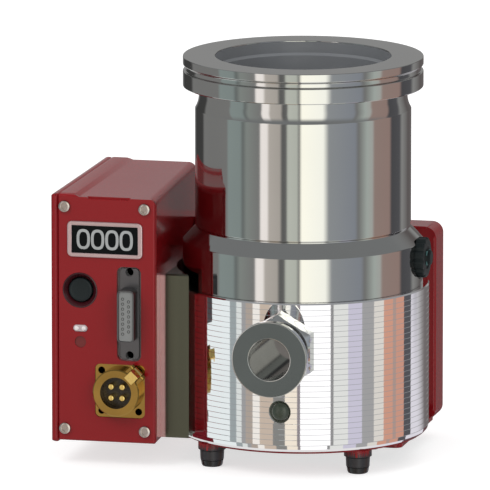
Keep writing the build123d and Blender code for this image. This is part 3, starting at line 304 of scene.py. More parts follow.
# finishes of single pieces
bezelPlastic = softPlastic("bezel_plastic", (0.045, 0.006, 0.009), 0.2, 0.32)
digitPlastic = softPlastic("digit_plastic", (0.4, 0.415, 0.41), 0.4, 0.55)
# painted shade: the port's bore is darker than the port steel
boreShadeMetal = plainMetal("bore_metal", (0.42, 0.43, 0.43), 0.08, 0.16)
# painted shade: the pocket behind the port is dark grey
pocketShadeMetal = plainMetal("pocket_metal", (0.2, 0.2, 0.2), 0.05, 0.1)
# painted shade: the casing's bore is darker and less metallic than the casing steel
throatShadeSteel = plainMetal("throat_steel", (0.27, 0.28, 0.295), 0.3, 0.42, metallic=0.35)
brightBrass = plainMetal("bright_brass", (0.95, 0.7, 0.24), 0.1, 0.2, dirt=0.7)
insulatorBrown = softPlastic("insulator_brown", (0.03, 0.02, 0.008), 0.2, 0.35)
plateGrey = plainMetal("connector_plate", (0.15, 0.15, 0.16), 0.24, 0.34, bump=0.000001)
capBlack = softPlastic("cap_black", (0.012, 0.017, 0.018), 0.35, 0.5, IOR=1.3)
portFace = plainMetal("port_face", (0.16, 0.185, 0.19), 0.28, 0.38)
insertGrey = softPlastic("insert_grey", (0.24, 0.245, 0.24), 0.4, 0.55)
tealMark = softPlastic("teal_mark", (0.09, 0.2, 0.2), 0.3, 0.45)
contactDark = softPlastic("contact_dark", (0.004, 0.004, 0.005), 0.4, 0.6)
dotWhite = softPlastic("light_dots", (0.92, 0.86, 0.84), 0.2, 0.3)
print("finishes made:", len(bpy.data.materials))

# the CAD nodes keep their meshes and only take the finishes
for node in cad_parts.values():
    for slotPlace, material in enumerate(node.data.materials):
        slotName = material.name.split(".")[0]
        if slotName in finishes and finishes[slotName] != material:
            node.data.materials[slotPlace] = finishes[slotName]


def finishEdges(bm, sharpAngle=30.0):
    for face in bm.faces:
        face.smooth = True
    for edge in bm.edges:
        edge.smooth = len(edge.link_faces) == 2 and edge.calc_face_angle(pi) < radians(sharpAngle)


def makePiece(name, bm, material, sharpAngle=30.0, merge=0.00000005, turnOut=True):
    bmesh.ops.remove_doubles(bm, verts=bm.verts, dist=merge)
    if turnOut:
        bmesh.ops.recalc_face_normals(bm, faces=bm.faces)
    finishEdges(bm, sharpAngle)
    mesh = bpy.data.meshes.new(name)
    bm.to_mesh(mesh)
    bm.free()
    mesh.materials.append(material)
    piece = bpy.data.objects.new(name, mesh)
    scene.collection.objects.link(piece)
    return evenNormals(piece)


def evenNormals(piece):
    # big faces decide the shading, so flats and walls stay true beside small rounds
    even = piece.modifiers.new("normals", "WEIGHTED_NORMAL")
    even.keep_sharp = True
    even.weight = 100
    return applied(piece)


def seat(piece, body, slotName, *nodes):
    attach(piece, body)
    if nodes:
        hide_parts(*nodes)
    return piece


def applied(piece):
    # what the modifiers make becomes the mesh itself
    bpy.context.view_layer.update()
    evaluated = piece.evaluated_get(bpy.context.evaluated_depsgraph_get())
    mesh = bpy.data.meshes.new_from_object(evaluated)
    piece.modifiers.clear()
    old = piece.data
    piece.data = mesh
    mesh.name = piece.name
    bpy.data.meshes.remove(old)
    return piece


def tidyNormals(piece, sharpAngle=30.0):
    bm = bmesh.new()
    bm.from_mesh(piece.data)
    finishEdges(bm, sharpAngle)
    bm.to_mesh(piece.data)
    bm.free()
    return evenNormals(piece)


def roundCorners(profile, radius, steps=3):
    # every corner of an open profile, apart from its ends, gets a small round
    out = [profile[0]]
    for place in range(1, len(profile) - 1):
        before, corner, after = (Vector(profile[place + shift]) for shift in (-1, 0, 1))
        reach = min(radius, (before - corner).length * 0.45, (after - corner).length * 0.45)
        if reach < 1e-9:
            out.append(tuple(corner))
            continue
        start = corner + (before - corner).normalized() * reach
        end = corner + (after - corner).normalized() * reach
        for step in range(steps + 1):
            share = step / steps
            back = 1 - share
            out.append(tuple(start * back**2 + corner * 2 * share * back + end * share**2))
    return out + [profile[-1]]


# where the height of a turned piece points
upright = Matrix.Identity(4)
towardsFront = Matrix(((1, 0, 0, 0), (0, 0, -1, 0), (0, 1, 0, 0), (0, 0, 0, 1)))
towardsRight = Matrix(((0, 0, 1, 0), (1, 0, 0, 0), (0, 1, 0, 0), (0, 0, 0, 1)))
towardsLeft = Matrix(((0, 0, -1, 0), (1, 0, 0, 0), (0, -1, 0, 0), (0, 0, 0, 1)))
towardsBack = Matrix(((1, 0, 0, 0), (0, 0, 1, 0), (0, -1, 0, 0), (0, 0, 0, 1)))


def sweepProfile(bm, profile, segments, place=upright, closed=False):
    # profile: radius and height in metres; a radius may be a function of the angle
    rings = []
    for radius, height in profile:
        if not callable(radius) and radius < 1e-9:
            rings.append([bm.verts.new(place @ Vector((0, 0, height)))])
            continue
        ring = []
        for count in range(segments):
            angle = 2 * pi * count / segments
            r = radius(angle) if callable(radius) else radius
            ring.append(bm.verts.new(place @ Vector((r * cos(angle), r * sin(angle), height))))
        rings.append(ring)
    pairs = list(zip(rings, rings[1:]))
    if closed:
        pairs.append((rings[-1], rings[0]))
    for low, high in pairs:
        for count in range(segments):
            after = (count + 1) % segments
            if len(low) == 1 and len(high) == 1:
                continue
            if len(low) == 1:
                bm.faces.new((low[0], high[after], high[count]))
            elif len(high) == 1:
                bm.faces.new((low[count], low[after], high[0]))
            else:
                bm.faces.new((low[count], low[after], high[after], high[count]))


def moved(place, *offset):
    return Matrix.Translation(Vector(offset)) @ place


def scaled(profile):
    return [(r if callable(r) else r * mm, h * mm) for r, h in profile]


def middleOf(nodeName):
    low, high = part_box(nodeName)
    return (low + high) / 2


def frontOf(nodeName):
    # the middle of a node's front side
    middle = middleOf(nodeName)
    return Vector((middle.x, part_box(nodeName)[0].y, middle.z))


def turnedPiece(name, profile, segments, place, material, closed=False, sharpAngle=30.0):
    bm = bmesh.new()
    sweepProfile(bm, scaled(profile), segments, place, closed)
    return makePiece(name, bm, material, sharpAngle)


def turnedCutter(name, *turnings):
    bm = bmesh.new()
    for profile, segments, place in turnings:
        sweepProfile(bm, scaled(profile), segments, place)
    bmesh.ops.recalc_face_normals(bm, faces=bm.faces)
    cutter = bpy.data.meshes.new(name)
    bm.to_mesh(cutter)
    bm.free()
    return cutter


def paintFaces(piece, *picks):
    # a face takes the finish of the first test that it passes, or else the piece's own
    for material, test in picks:
        piece.data.materials.append(material)
    for polygon in piece.data.polygons:
        passed = [place for place, (material, test) in enumerate(picks, 1) if test(polygon)]
        polygon.material_index = passed[0] if passed else 0


def hexRadius(across):
    # distance from the middle to a hexagon's side at an angle
    return lambda angle: across / 2 / cos((angle + pi / 6) % (pi / 3) - pi / 6)


def cutAway(piece, cutterMesh, sharpAngle=30.0):
    cutter = bpy.data.objects.new("cutter", cutterMesh)
    scene.collection.objects.link(cutter)
    cut = piece.modifiers.new("cut", "BOOLEAN")
    cut.operation = "DIFFERENCE"
    cut.solver = "EXACT"
    cut.object = cutter
    applied(piece)
    bpy.data.objects.remove(cutter)
    return tidyNormals(piece, sharpAngle)


# distances in metres, angles in degrees
copyValues = {"merge": 0.000002, "sideReach": 0.00005, "flatAngle": 0.4, "sharpAngle": 32.0}


def dressedCopy(nodeName, pieceName, material, bevel=0.0, segments=2, outlineOnly=False):
    # the CAD mesh, merged, with its flat faces joined and its edges rounded
    bm = bmesh.new()
    bm.from_mesh(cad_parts[nodeName].data)
    bmesh.ops.remove_doubles(bm, verts=bm.verts, dist=copyValues["merge"])
    flat = radians(copyValues["flatAngle"])
    bmesh.ops.dissolve_limit(bm, angle_limit=flat, verts=bm.verts, edges=bm.edges)
    if outlineOnly:
        # only edges where two sides of the node's box meet are rounded
        low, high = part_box(nodeName)
        weights = bm.edges.layers.float.new("bevel_weight_edge")
        near = lambda a, b: abs(a - b) < copyValues["sideReach"]
        onSide = lambda spot, axis: near(spot[axis], low[axis]) or near(spot[axis], high[axis])
        corners = {vert for vert in bm.verts if sum(onSide(vert.co, axis) for axis in range(3)) > 1}
        for edge in bm.edges:
            if edge.verts[0] in corners and edge.verts[1] in corners and edge.calc_face_angle(0) > 0.5:
                edge[weights] = 1.0
    piece = makePiece(pieceName, bm, material, copyValues["sharpAngle"], merge=0.0000005, turnOut=False)
    if bevel:
        rounding = piece.modifiers.new("edges", "BEVEL")
        rounding.width = bevel
        rounding.segments = segments
        rounding.limit_method = "WEIGHT" if outlineOnly else "ANGLE"
        rounding.angle_limit = radians(copyValues["sharpAngle"])
        rounding.use_clamp_overlap = not outlineOnly
        rounding.miter_outer = "MITER_ARC"
    return evenNormals(piece)


def dress(nodeName, material, slotName, bevel=0.0, body="pump_body", **more):
    # the piece takes its node's name, and its edge is in mm
    first, *rest = nodeName.split("_")
    pieceName = first + "".join(word.capitalize() for word in rest)
    return seat(dressedCopy(nodeName, pieceName, material, bevel * mm, **more), body, slotName, nodeName)


# a Geometry Nodes tree with named inputs
def newTree(name, inputs):
    tree = bpy.data.node_groups.new(name, "GeometryNodeTree")
    tree.interface.new_socket("Geometry", in_out="INPUT", socket_type="NodeSocketGeometry")
    for label, kind, value in inputs:
        socket = tree.interface.new_socket(label, in_out="INPUT", socket_type=kind)
        if value is not None:
            socket.default_value = value
    tree.interface.new_socket("Geometry", in_out="OUTPUT", socket_type="NodeSocketGeometry")
    board = Board(tree)
    board.start = tree.nodes.new("NodeGroupInput")
    board.end = tree.nodes.new("NodeGroupOutput")
    board.input = lambda label: Wire(tree, board.start.outputs[label])
    return board


def closeTree(board, geometry):
    joined = board.add("GeometryNodeRealizeInstances", sockets={"Geometry": geometry})
    coloured = board.add("GeometryNodeSetMaterial", sockets={
        "Geometry": joined, "Material": board.input("Material")})
    plug(board.tree, board.end.inputs[0], coloured)


def runTree(piece, board, values):
    # inputs go by the socket's identifier, before anything is evaluated
    modifier = piece.modifiers.new("make", "NODES")
    modifier.node_group = board.tree
    for item in board.tree.interface.items_tree:
        if item.item_type == "SOCKET" and item.in_out == "INPUT" and item.name in values:
            modifier[item.identifier] = values[item.name]
    applied(piece)
    return piece


# copies of one small piece at the points of a grid
repeatBoard = newTree("repeatOnGrid", [
    ("Size X", "NodeSocketFloat", 0.1), ("Size Y", "NodeSocketFloat", 0.1),
    ("Count X", "NodeSocketInt", 2), ("Count Y", "NodeSocketInt", 2),
    ("Turn", "NodeSocketVector", None), ("Centre", "NodeSocketVector", None),
    ("Material", "NodeSocketMaterial", None),
])
gridPoints = repeatBoard.add("GeometryNodeMeshGrid", sockets={
    "Size X": repeatBoard.input("Size X"), "Size Y": repeatBoard.input("Size Y"),
    "Vertices X": repeatBoard.input("Count X"), "Vertices Y": repeatBoard.input("Count Y")})
placedPoints = repeatBoard.add("GeometryNodeTransform", sockets={
    "Geometry": gridPoints, "Translation": repeatBoard.input("Centre"),
    "Rotation": repeatBoard.input("Turn")})
copies = repeatBoard.add("GeometryNodeInstanceOnPoints", sockets={
    "Points": placedPoints, "Instance": repeatBoard.input("Geometry")})
closeTree(repeatBoard, copies)


def repeated(piece, centre, size, count=(2, 2), turn=(0, 0, 0)):
    material = piece.data.materials[0]
    runTree(piece, repeatBoard, {
        "Size X": size[0], "Size Y": size[1], "Count X": count[0], "Count Y": count[1],
        "Turn": turn, "Centre": tuple(centre), "Material": material})
    return tidyNormals(piece)


# upper casing: radii, and depths below the sealing face, in mm
casing = {
    "flange": 47.5, "flangeThick": 12.0, "ring": 34.7, "ringStep": 4.8, "groove": 46.3, "grooveTop": 3.4,
    "grooveWidth": 2.2, "throat": 33.9, "bore": 39.0, "neck": 41.2, "neckFoot": 15.6, "coveRadius": 10.5,
    "coveDrop": 5.408, "coveSteps": 10, "tube": 42.3, "tubeFoot": 68.0, "collar": 47.6, "collarTop": 73.3,
    "throatTop": 5.8, "throatFoot": 13.0, "boreTop": 14.0, "edge": 0.45, "footEdge": 0.3, "segments": 240,
    "ventSeat": 8.6, "ventSeatX": 46.0, "ventSeatDepth": 8.0,
}


def makeUpperCasing():
    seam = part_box("upper_casing")[0].z / mm
    c = casing
    drops = [c["coveDrop"] * step / c["coveSteps"] for step in range(c["coveSteps"] + 1)]
    reach = c["neck"] + c["coveRadius"]
    cove = [(reach - sqrt(c["coveRadius"]**2 - drop**2), -c["neckFoot"] - drop) for drop in drops]
    grooveFoot = c["grooveTop"] + c["grooveWidth"]
    outside = [
        (c["ring"], -c["ringStep"]), (c["ring"], 0), (c["flange"], 0),
        (c["flange"], -c["grooveTop"]), (c["groove"], -c["grooveTop"] - 0.2),
        (c["groove"], -grooveFoot), (c["flange"], -grooveFoot - 0.2),
        (c["flange"], -c["flangeThick"]), (c["neck"], -c["flangeThick"]),
    ]
    lower = [
        (c["tube"] + 0.4, -c["tubeFoot"] + 0.8), (c["tube"], -c["tubeFoot"] + 0.4),
        (c["tube"], -c["tubeFoot"]), (c["collar"], -c["collarTop"]),
        (c["collar"], seam), (c["bore"], seam),
    ]
    profile = roundCorners(outside + [cove[0]], c["edge"]) + cove[1:-1]
    profile += roundCorners([cove[-1]] + lower, c["footEdge"])
    profile += [(c["bore"], -c["boreTop"]), (c["throat"], -c["throatFoot"]), (c["throat"], -c["throatTop"])]
    steel = finishes["casing_steel"]
    piece = turnedPiece("upperCasing", profile, c["segments"], upright, steel, closed=True)
    ventMiddle = middleOf("vent_screw")
    radius, depth = c["ventSeat"], c["ventSeatDepth"]
    seatShape = [(0, 0), (radius, 0), (radius, depth), (0, depth)]
    place = moved(towardsRight, c["ventSeatX"] * mm, 0, ventMiddle.z)
    cutAway(piece, turnedCutter("ventSeat", (seatShape, 64, place)))

    def inShadedBore(polygon):
        # the bore is painted darker and duller: painted shade inside the bore
        spot, normal = polygon.center, polygon.normal
        inward = normal.x * spot.x + normal.y * spot.y < 0
        return inward and hypot(spot.x, spot.y) < (c["bore"] + 0.2) * mm and spot.z < -0.8 * mm

    paintFaces(piece, (throatShadeSteel, inShadedBore))
    seat(piece, "pump_body", "casing_steel", "upper_casing")


makeUpperCasing()
print("upper casing made")


# fore-line port, which the housing is cut for
port = {
    "flange": 15.0, "bore": 8.25, "rim": 3.0, "neck": 10.0, "edge": 0.35,
    "hexAcross": 26.0, "hexThick": 8.0, "seat": 9.9, "seatY": -47.0, "seatDepth": 10.0,
}

# lower housing: a turned barrel whose rings follow a rule
housing = {
    "segments": 216, "pitch": 2.17, "drop": 0.12, "stepShare": 0.06, "ringSharp": 12.0, "radius": 50.0,
    "topEdge": 0.5, "footEdge": 2.6, "plugHole": 3.6, "plugMouth": 4.9, "plugDepth": 8.9, "plugY": -40.0,
    # the steps inside, from the stack bore down to the bearing
    "inside": [
        (38.9, -86.5), (36, -86.5), (36, -118), (26, -118), (26, -93), (22, -93), (22, -115), (6.6, -115),
        (6.6, -121), (13, -121), (13, -130), (16.4, -130)],
}

barrelBoard = newTree("turnedBarrel", [
    ("Radius", "NodeSocketFloat", 0.05), ("Low", "NodeSocketFloat", -0.15),
    ("High", "NodeSocketFloat", -0.09), ("Pitch", "NodeSocketFloat", 0.002),
    ("Drop", "NodeSocketFloat", 0.0001), ("Step Share", "NodeSocketFloat", 0.125),
    ("Segments", "NodeSocketInt", 96), ("Rows", "NodeSocketInt", 90),
    ("Material", "NodeSocketMaterial", None),
])


def buildBarrelTree(board):
    sheet = board.add("GeometryNodeMeshGrid", sockets={
        "Size X": 1.0, "Size Y": 1.0,
        "Vertices X": board.input("Segments"), "Vertices Y": board.input("Rows")})
    across, along = board.split(board.add("GeometryNodeInputPosition"))[:2]
    # two rows a ring: a short step in, then a long lean back out
    row = (along + 0.5) * (board.input("Rows") - 1.0)
    ring = row.math("FLOOR", row * 0.5 + 0.1)
    inner = row - ring * 2.0
    height = board.input("Low") + (ring + inner * board.input("Step Share")) * board.input("Pitch")
    radius = board.input("Radius") - inner * board.input("Drop")
    angle = (across + 0.5) * (2 * pi)
    spot = board.add("ShaderNodeCombineXYZ", sockets={
        0: radius * angle.math("COSINE", angle), 1: radius * angle.math("SINE", angle), 2: height})
    bent = board.add("GeometryNodeSetPosition", sockets={"Geometry": sheet, "Position": spot})
    closed = board.add("GeometryNodeMergeByDistance", sockets={"Geometry": bent, "Distance": 0.000001})
    closeTree(board, closed)


buildBarrelTree(barrelBoard)


def makeLowerHousing():
    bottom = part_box("lower_housing")[0].z / mm
    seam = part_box("upper_casing")[0].z / mm
    base, top = bottom + housing["footEdge"], seam - housing["topEdge"]
    rings = round((top - base) / housing["pitch"])
    r, ringSharp = housing["radius"], housing["ringSharp"]
    bright = finishes["housing_aluminium"]
    blank = bpy.data.objects.new("lowerHousing", bpy.data.meshes.new("lowerHousing"))
    scene.collection.objects.link(blank)
    runTree(blank, barrelBoard, {
        "Radius": r * mm, "Low": base * mm, "High": top * mm, "Pitch": (top - base) / rings * mm,
        "Drop": housing["drop"] * mm, "Step Share": housing["stepShare"],
        "Segments": housing["segments"] + 1, "Rows": rings * 2 + 1, "Material": bright})
    bm = bmesh.new()
    bm.from_mesh(blank.data)
    bpy.data.objects.remove(blank)
    # from the rings' top over the seam, down the inside and back round the foot
    profile = [(r, top), (r - 0.5, seam), (housing["inside"][0][0], seam)] + housing["inside"]
    profile += [(housing["inside"][-1][0], bottom), (r - 1.4, bottom), (r - 0.4, bottom + 1.1), (r, base)]
    sweepProfile(bm, scaled(profile), housing["segments"])
    piece = makePiece("lowerHousing", bm, bright, ringSharp, merge=0.000004)
    portMiddle, plugMiddle = middleOf("fore_line_port"), middleOf("sealing_plug")
    portHole = [(0, 0), (port["seat"], 0), (port["seat"], port["seatDepth"]), (0, port["seatDepth"])]
    hole, mouth, depth = housing["plugHole"], housing["plugMouth"], housing["plugDepth"]
    edge = depth + mouth - hole
    plugHole = [(0, 0), (hole, 0), (hole, depth), (mouth, edge), (0, edge)]
    cutAway(piece, turnedCutter(
        "housingCuts",
        (portHole, 96, moved(towardsFront, portMiddle.x, port["seatY"] * mm, portMiddle.z)),
        (plugHole, 48, moved(towardsFront, plugMiddle.x, housing["plugY"] * mm, plugMiddle.z)),
    ), ringSharp)

    def inShadedPocket(polygon):
        # the pocket behind the port is painted dark: painted shade behind the port
        aside, above = polygon.center.x - portMiddle.x, polygon.center.z - portMiddle.z
        return polygon.center.y < -30 * mm and hypot(aside, above) < (port["seat"] + 0.02) * mm

    paintFaces(piece, (pocketShadeMetal, inShadedPocket))
    seat(piece, "pump_body", "housing_aluminium", "lower_housing")


makeLowerHousing()
print("lower housing made")


def makePort():
    front = frontOf("fore_line_port")
    face = (port["seatY"] * mm - front.y) / mm
    r, neck, bore = port["flange"], port["neck"], port["bore"]
    across, thick = port["hexAcross"], port["hexThick"]
    hexagon = hexRadius(across)
    nut = lambda limit: (lambda angle: min(hexagon(angle), limit) * mm)
    rim = face - port["rim"]
    cone = rim - (r - neck) * 0.27
    outside = [(bore, face - 2), (bore, face), (r, face), (r, rim), (neck, cone), (neck, thick)]
    profile = roundCorners(outside, port["edge"]) + [
        (nut(across * 0.49), thick), (nut(across * 0.53), thick - 0.7), (nut(across), thick - 1.4),
        (nut(across), 0), (neck, 0), (neck, -7), (bore, -7),
    ]
    place = moved(towardsFront, front.x, port["seatY"] * mm, front.z)
    steel = finishes["port_steel"]
    piece = turnedPiece("foreLinePort", profile, 96, place, steel, closed=True, sharpAngle=25.0)

    def onFace(polygon):
        return polygon.normal.y < -0.99 and polygon.center.y < front.y + 0.1 * mm

    # the port's bore takes painted shade
    def inShadedBore(polygon):
        return hypot(polygon.center.x - front.x, polygon.center.z - front.z) < (bore + 0.05) * mm

    paintFaces(piece, (portFace, onFace), (boreShadeMetal, inShadedBore))
    seat(piece, "pump_body", "port_steel", "fore_line_port")


makePort()

# plug of the service port
plugValues = {"radius": 3.5, "dome": 1.6, "domeSteps": 8, "length": 9.0}


def makePlug():
    middle = middleOf("sealing_plug")
    r, dome, steps = plugValues["radius"], plugValues["dome"], plugValues["domeSteps"]
    face = (middle.y - frontOf("sealing_plug").y) / mm
    end = face - plugValues["length"]
    turns = [step * pi / 2 / steps for step in range(steps)]
    nose = [(r * cos(turn), face - dome + dome * sin(turn)) for turn in turns]
    profile = [(0, end), (r, end)] + nose + [(0, face)]
    piece = turnedPiece("sealingPlug", profile, 48, moved(towardsFront, *middle), finishes["plug_rubber"])
    seat(piece, "pump_body", "plug_rubber", "sealing_plug")


makePlug()
print("port and plug made")


# vent screw, with a fluted rim and a boss in its middle
vent = {
    "radius": 8.0, "flutes": 12, "fluteDepth": 0.55, "back": 46.3, "thickness": 4.2, "shank": 2.5,
    "shankLength": 4.5, "boss": 3.0, "markOutside": 2.75, "markInside": 2.2,
}


def makeVent():
    back, shank, boss = vent["back"], vent["shank"], vent["boss"]
    end, face = back - vent["shankLength"], back + vent["thickness"]
    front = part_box("vent_screw")[1].x / mm

    def fluted(inset):
        flute = lambda angle: vent["fluteDepth"] * max(0.0, cos(vent["flutes"] * angle)) ** 2
        return lambda angle: (vent["radius"] - inset - flute(angle)) * mm

    profile = [
        (0, end), (shank, end), (shank, back), (fluted(0.5), back), (fluted(0.0), back + 0.5),
        (fluted(0.0), face - 0.7), (fluted(0.3), face - 0.2), (fluted(0.9), face), (boss + 1.6, face),
        (boss + 1.3, face - 0.5), (boss + 0.2, face - 0.5), (boss, face), (boss, front - 0.4),
        (boss - 0.4, front), (0, front),
    ]
    place = moved(towardsRight, 0, 0, middleOf("vent_screw").z)
    seat(turnedPiece("ventScrew", profile, 144, place, capBlack), "vent", "dark_plastic", "vent_screw")
    # a square coloured outline round the boss
    square = lambda half: (lambda angle: half * mm / max(abs(cos(angle)), abs(sin(angle))))
    outer, inner = square(vent["markOutside"]), square(vent["markInside"])
    outline = [(outer, face - 0.05), (outer, face + 0.4), (inner, face + 0.4), (inner, face - 0.05)]
    seat(turnedPiece("ventMark", outline, 64, place, tealMark, closed=True), "vent", "dark_plastic")


makeVent()
print("vent screw made")


# rubber feet
foot = {"top": 4.8, "toe": 4.2, "ring": 2.5}


def makeFeet():
    low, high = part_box("rubber_feet")
    base, top = low.z / mm, high.z / mm
    toe, body, ring = foot["toe"], foot["top"], base + foot["ring"]
    profile = [
        (0, base), (toe - 0.9, base), (toe - 0.3, base + 0.25), (toe, base + 0.9),
        (toe + 0.25, ring), (toe + 0.1, ring + 0.15), (toe + 0.42, ring + 0.35),
        (body, top - 0.4), (body - 0.3, top), (0, top),
    ]
    piece = turnedPiece("rubberFeet", profile, 64, upright, finishes["rubber"])
    repeated(piece, (0, 0, 0), (high.x - low.x - 2 * body * mm, high.y - low.y - 2 * body * mm))
    seat(piece, "pump_body", "rubber", "rubber_feet")


makeFeet()
print("feet made")


# screws of the red covers
screwHead = {
    "radius": 2.35, "height": 1.2, "socket": 2.3, "socketDepth": 0.7, "shank": 1.3, "length": 9.0}


def makeScrews(nodeName, pieceName, place, side):
    low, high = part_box(nodeName)
    centre = middleOf(nodeName)
    r, h = screwHead["radius"], screwHead["height"]
    shank, end, deep = screwHead["shank"], -screwHead["length"], h - screwHead["socketDepth"]
    hexagon = lambda across: (lambda angle: hexRadius(across)(angle) * mm)
    socket, mouth = hexagon(screwHead["socket"]), hexagon(screwHead["socket"] + 0.3)
    profile = [
        (0, deep), (socket, deep), (socket, h - 0.05), (mouth, h), (r * 0.72, h - 0.04),
        (r * 0.93, h * 0.78), (r, h * 0.45), (r, 0), (shank, 0), (shank, end), (0, end),
    ]
    piece = turnedPiece(pieceName, profile, 36, place, finishes["screw_steel"])
    spreadX, spreadY, spreadZ = (high[axis] - low[axis] - 2 * r * mm for axis in range(3))
    if side == "left":
        at, size, turn = (low.x + h * mm, centre.y, centre.z), (spreadZ, spreadY), (0, pi / 2, 0)
    else:
        depth = low.y + h * mm if side == "front" else high.y - h * mm
        at, size, turn = (centre.x, depth, centre.z), (spreadX, spreadZ), (pi / 2, 0, 0)
    repeated(piece, at, size, turn=turn)
    seat(piece, "pump_body", "screw_steel", nodeName)


makeScrews("panel_screws", "panelScrews", towardsFront, "front")
makeScrews("side_screws", "sideScrews", towardsLeft, "left")
makeScrews("back_screws", "backScrews", towardsBack, "back")
print("cover screws made")


# red covers, plate and adapter block
coverEdges = {
    "drive_case": 0.8, "side_cover": 1.1, "front_panel": 0.8, "rear_housing": 0.9, "base_plate": 0.4}
footBoss = 1.5
for nodeName, radius in coverEdges.items():
    outlineOnly = nodeName != "base_plate"
    dress(nodeName, finishes["red_paint"], "red_paint", radius, segments=3, outlineOnly=outlineOnly)
# the four foot bosses under the plate are black
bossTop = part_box("base_plate")[0].z + footBoss * mm
isBoss = lambda polygon: polygon.center.z < bossTop
paintFaces(bpy.data.objects["basePlate"], (finishes["rubber"], isBoss))
dress("adapter_block", finishes["adapter_metal"], "adapter_metal", 0.3)
print("covers dressed")


# display, with four digits
display = {
    "digitWidth": 5.4, "digitHeight": 8.0, "stroke": 1.1, "pitch": 5.8, "count": 4,
    "raise": 0.06, "power": 2.7,
}


def makeDisplay():
    dress("display_frame", finishes["frame_metal"], "frame_metal", 0.25)
    dress("display_window", finishes["window_black"], "window_black", 0.15)
    power = display["power"]

    def rounded(inset):
        # an upright rectangle with full corners
        width, height = display["digitWidth"] / 2 - inset, display["digitHeight"] / 2 - inset
        reach = lambda angle: abs(cos(angle) / width) ** power + abs(sin(angle) / height) ** power
        return lambda angle: mm / reach(angle) ** (1 / power)

    outer, inner, top = rounded(0), rounded(display["stroke"]), display["raise"]
    profile = [(outer, -0.05), (outer, top), (inner, top), (inner, -0.05)]
    piece = turnedPiece("displayDigits", profile, 64, towardsFront, digitPlastic, closed=True)
    row = display["pitch"] * (display["count"] - 1) * mm
    repeated(piece, frontOf("display_window"), (row, 0), (display["count"], 1), (pi / 2, 0, 0))
    seat(piece, "pump_body", "window_black")


makeDisplay()
print("display made")


# button and lights
button = {"radius": 4.8, "dish": 0.35, "length": 9.0}


def makeButton():
    dress("button_bezel", bezelPlastic, "dark_plastic")
    centre = middleOf("start_button")
    r, dish = button["radius"], button["dish"]
    face = (centre.y - frontOf("start_button").y) / mm
    end = face - button["length"]
    profile = [(0, end), (r, end), (r, face - 0.8), (r - 0.25, face - 0.25), (r - 0.8, face)]
    for step in range(6):
        profile.append((r * (0.78 - 0.13 * step), face - dish * sin((step + 1) * pi / 12) ** 0.8))
    profile += [(0, face - dish)]
    piece = turnedPiece("startButton", profile, 72, moved(towardsFront, *centre), capBlack)
    seat(piece, "button", "dark_plastic", "start_button")
    dress("status_light", finishes["light_white"], "light_white", 0.35, segments=3)
    dress("fault_light", finishes["light_red"], "light_red")


makeButton()

dots = {"profile": [(0.85, 0), (0.8, 0.12), (0.4, 0.24), (0, 0.28)], "apart": 2.9}


def makeStatusDots():
    piece = turnedPiece("statusDots", dots["profile"], 32, towardsFront, dotWhite)
    repeated(piece, frontOf("status_light"), (dots["apart"] * mm, 0), (2, 1), (pi / 2, 0, 0))
    seat(piece, "pump_body", "light_white")


makeStatusDots()
print("button and lights made")


# connectors; the signal insert has a longer and a shorter row of contact holes
signal = {"holes": 8, "pitch": 2.0, "rowGap": 1.2, "radius": 0.55}


def makeConnectors():
    dress("signal_shell", plateGrey, "shell_metal", 0.2)
    dress("signal_insert", insertGrey, "dark_plastic", 0.15)
    front = frontOf("signal_insert")
    r = signal["radius"]
    profile = [(0, -0.02), (r * 0.7, -0.02), (r * 0.7, 0.03), (r, 0.03), (r + 0.1, -0.02)]
    for side, shift, count in (("Left", -1, signal["holes"]), ("Right", 1, signal["holes"] - 1)):
        piece = turnedPiece("contactHoles" + side, profile, 20, towardsFront, contactDark)
        at = (front.x + shift * signal["rowGap"] * mm, front.y, front.z)
        repeated(piece, at, (0, signal["pitch"] * (count - 1) * mm), (1, count), (pi / 2, 0, 0))
        seat(piece, "pump_body", "dark_plastic")
    dress("power_socket", finishes["brass"], "brass", 0.25)
    dress("connector_latch", brightBrass, "brass", 0.15, body="latch")
    dress("power_pins", brightBrass, "brass")
    dress("power_insulator", insulatorBrown, "dark_plastic")


makeConnectors()
print("connectors made")


# camera, lamps, room and floor
view = {
    "azimuth": 13.5, "elevation": 10.5, "target": (-22.3, -5.4, -76.2), "distance": 4.0, "lens": 743.0}


def makeCamera():
    data = bpy.data.cameras.new("camera")
    data.lens = view["lens"]
    data.sensor_width = 36.0
    data.clip_start, data.clip_end = 0.1, 40.0
    camera = bpy.data.objects.new("camera", data)
    scene.collection.objects.link(camera)
    azimuth, elevation = radians(view["azimuth"]), radians(view["elevation"])
    towards = Vector((sin(azimuth) * cos(elevation), -cos(azimuth) * cos(elevation), sin(elevation)))
    target = Vector(view["target"]) * mm
    camera.location = target + towards * view["distance"]
    camera.rotation_euler = towards.to_track_quat("Z", "Y").to_euler()
    scene.camera = camera


makeCamera()

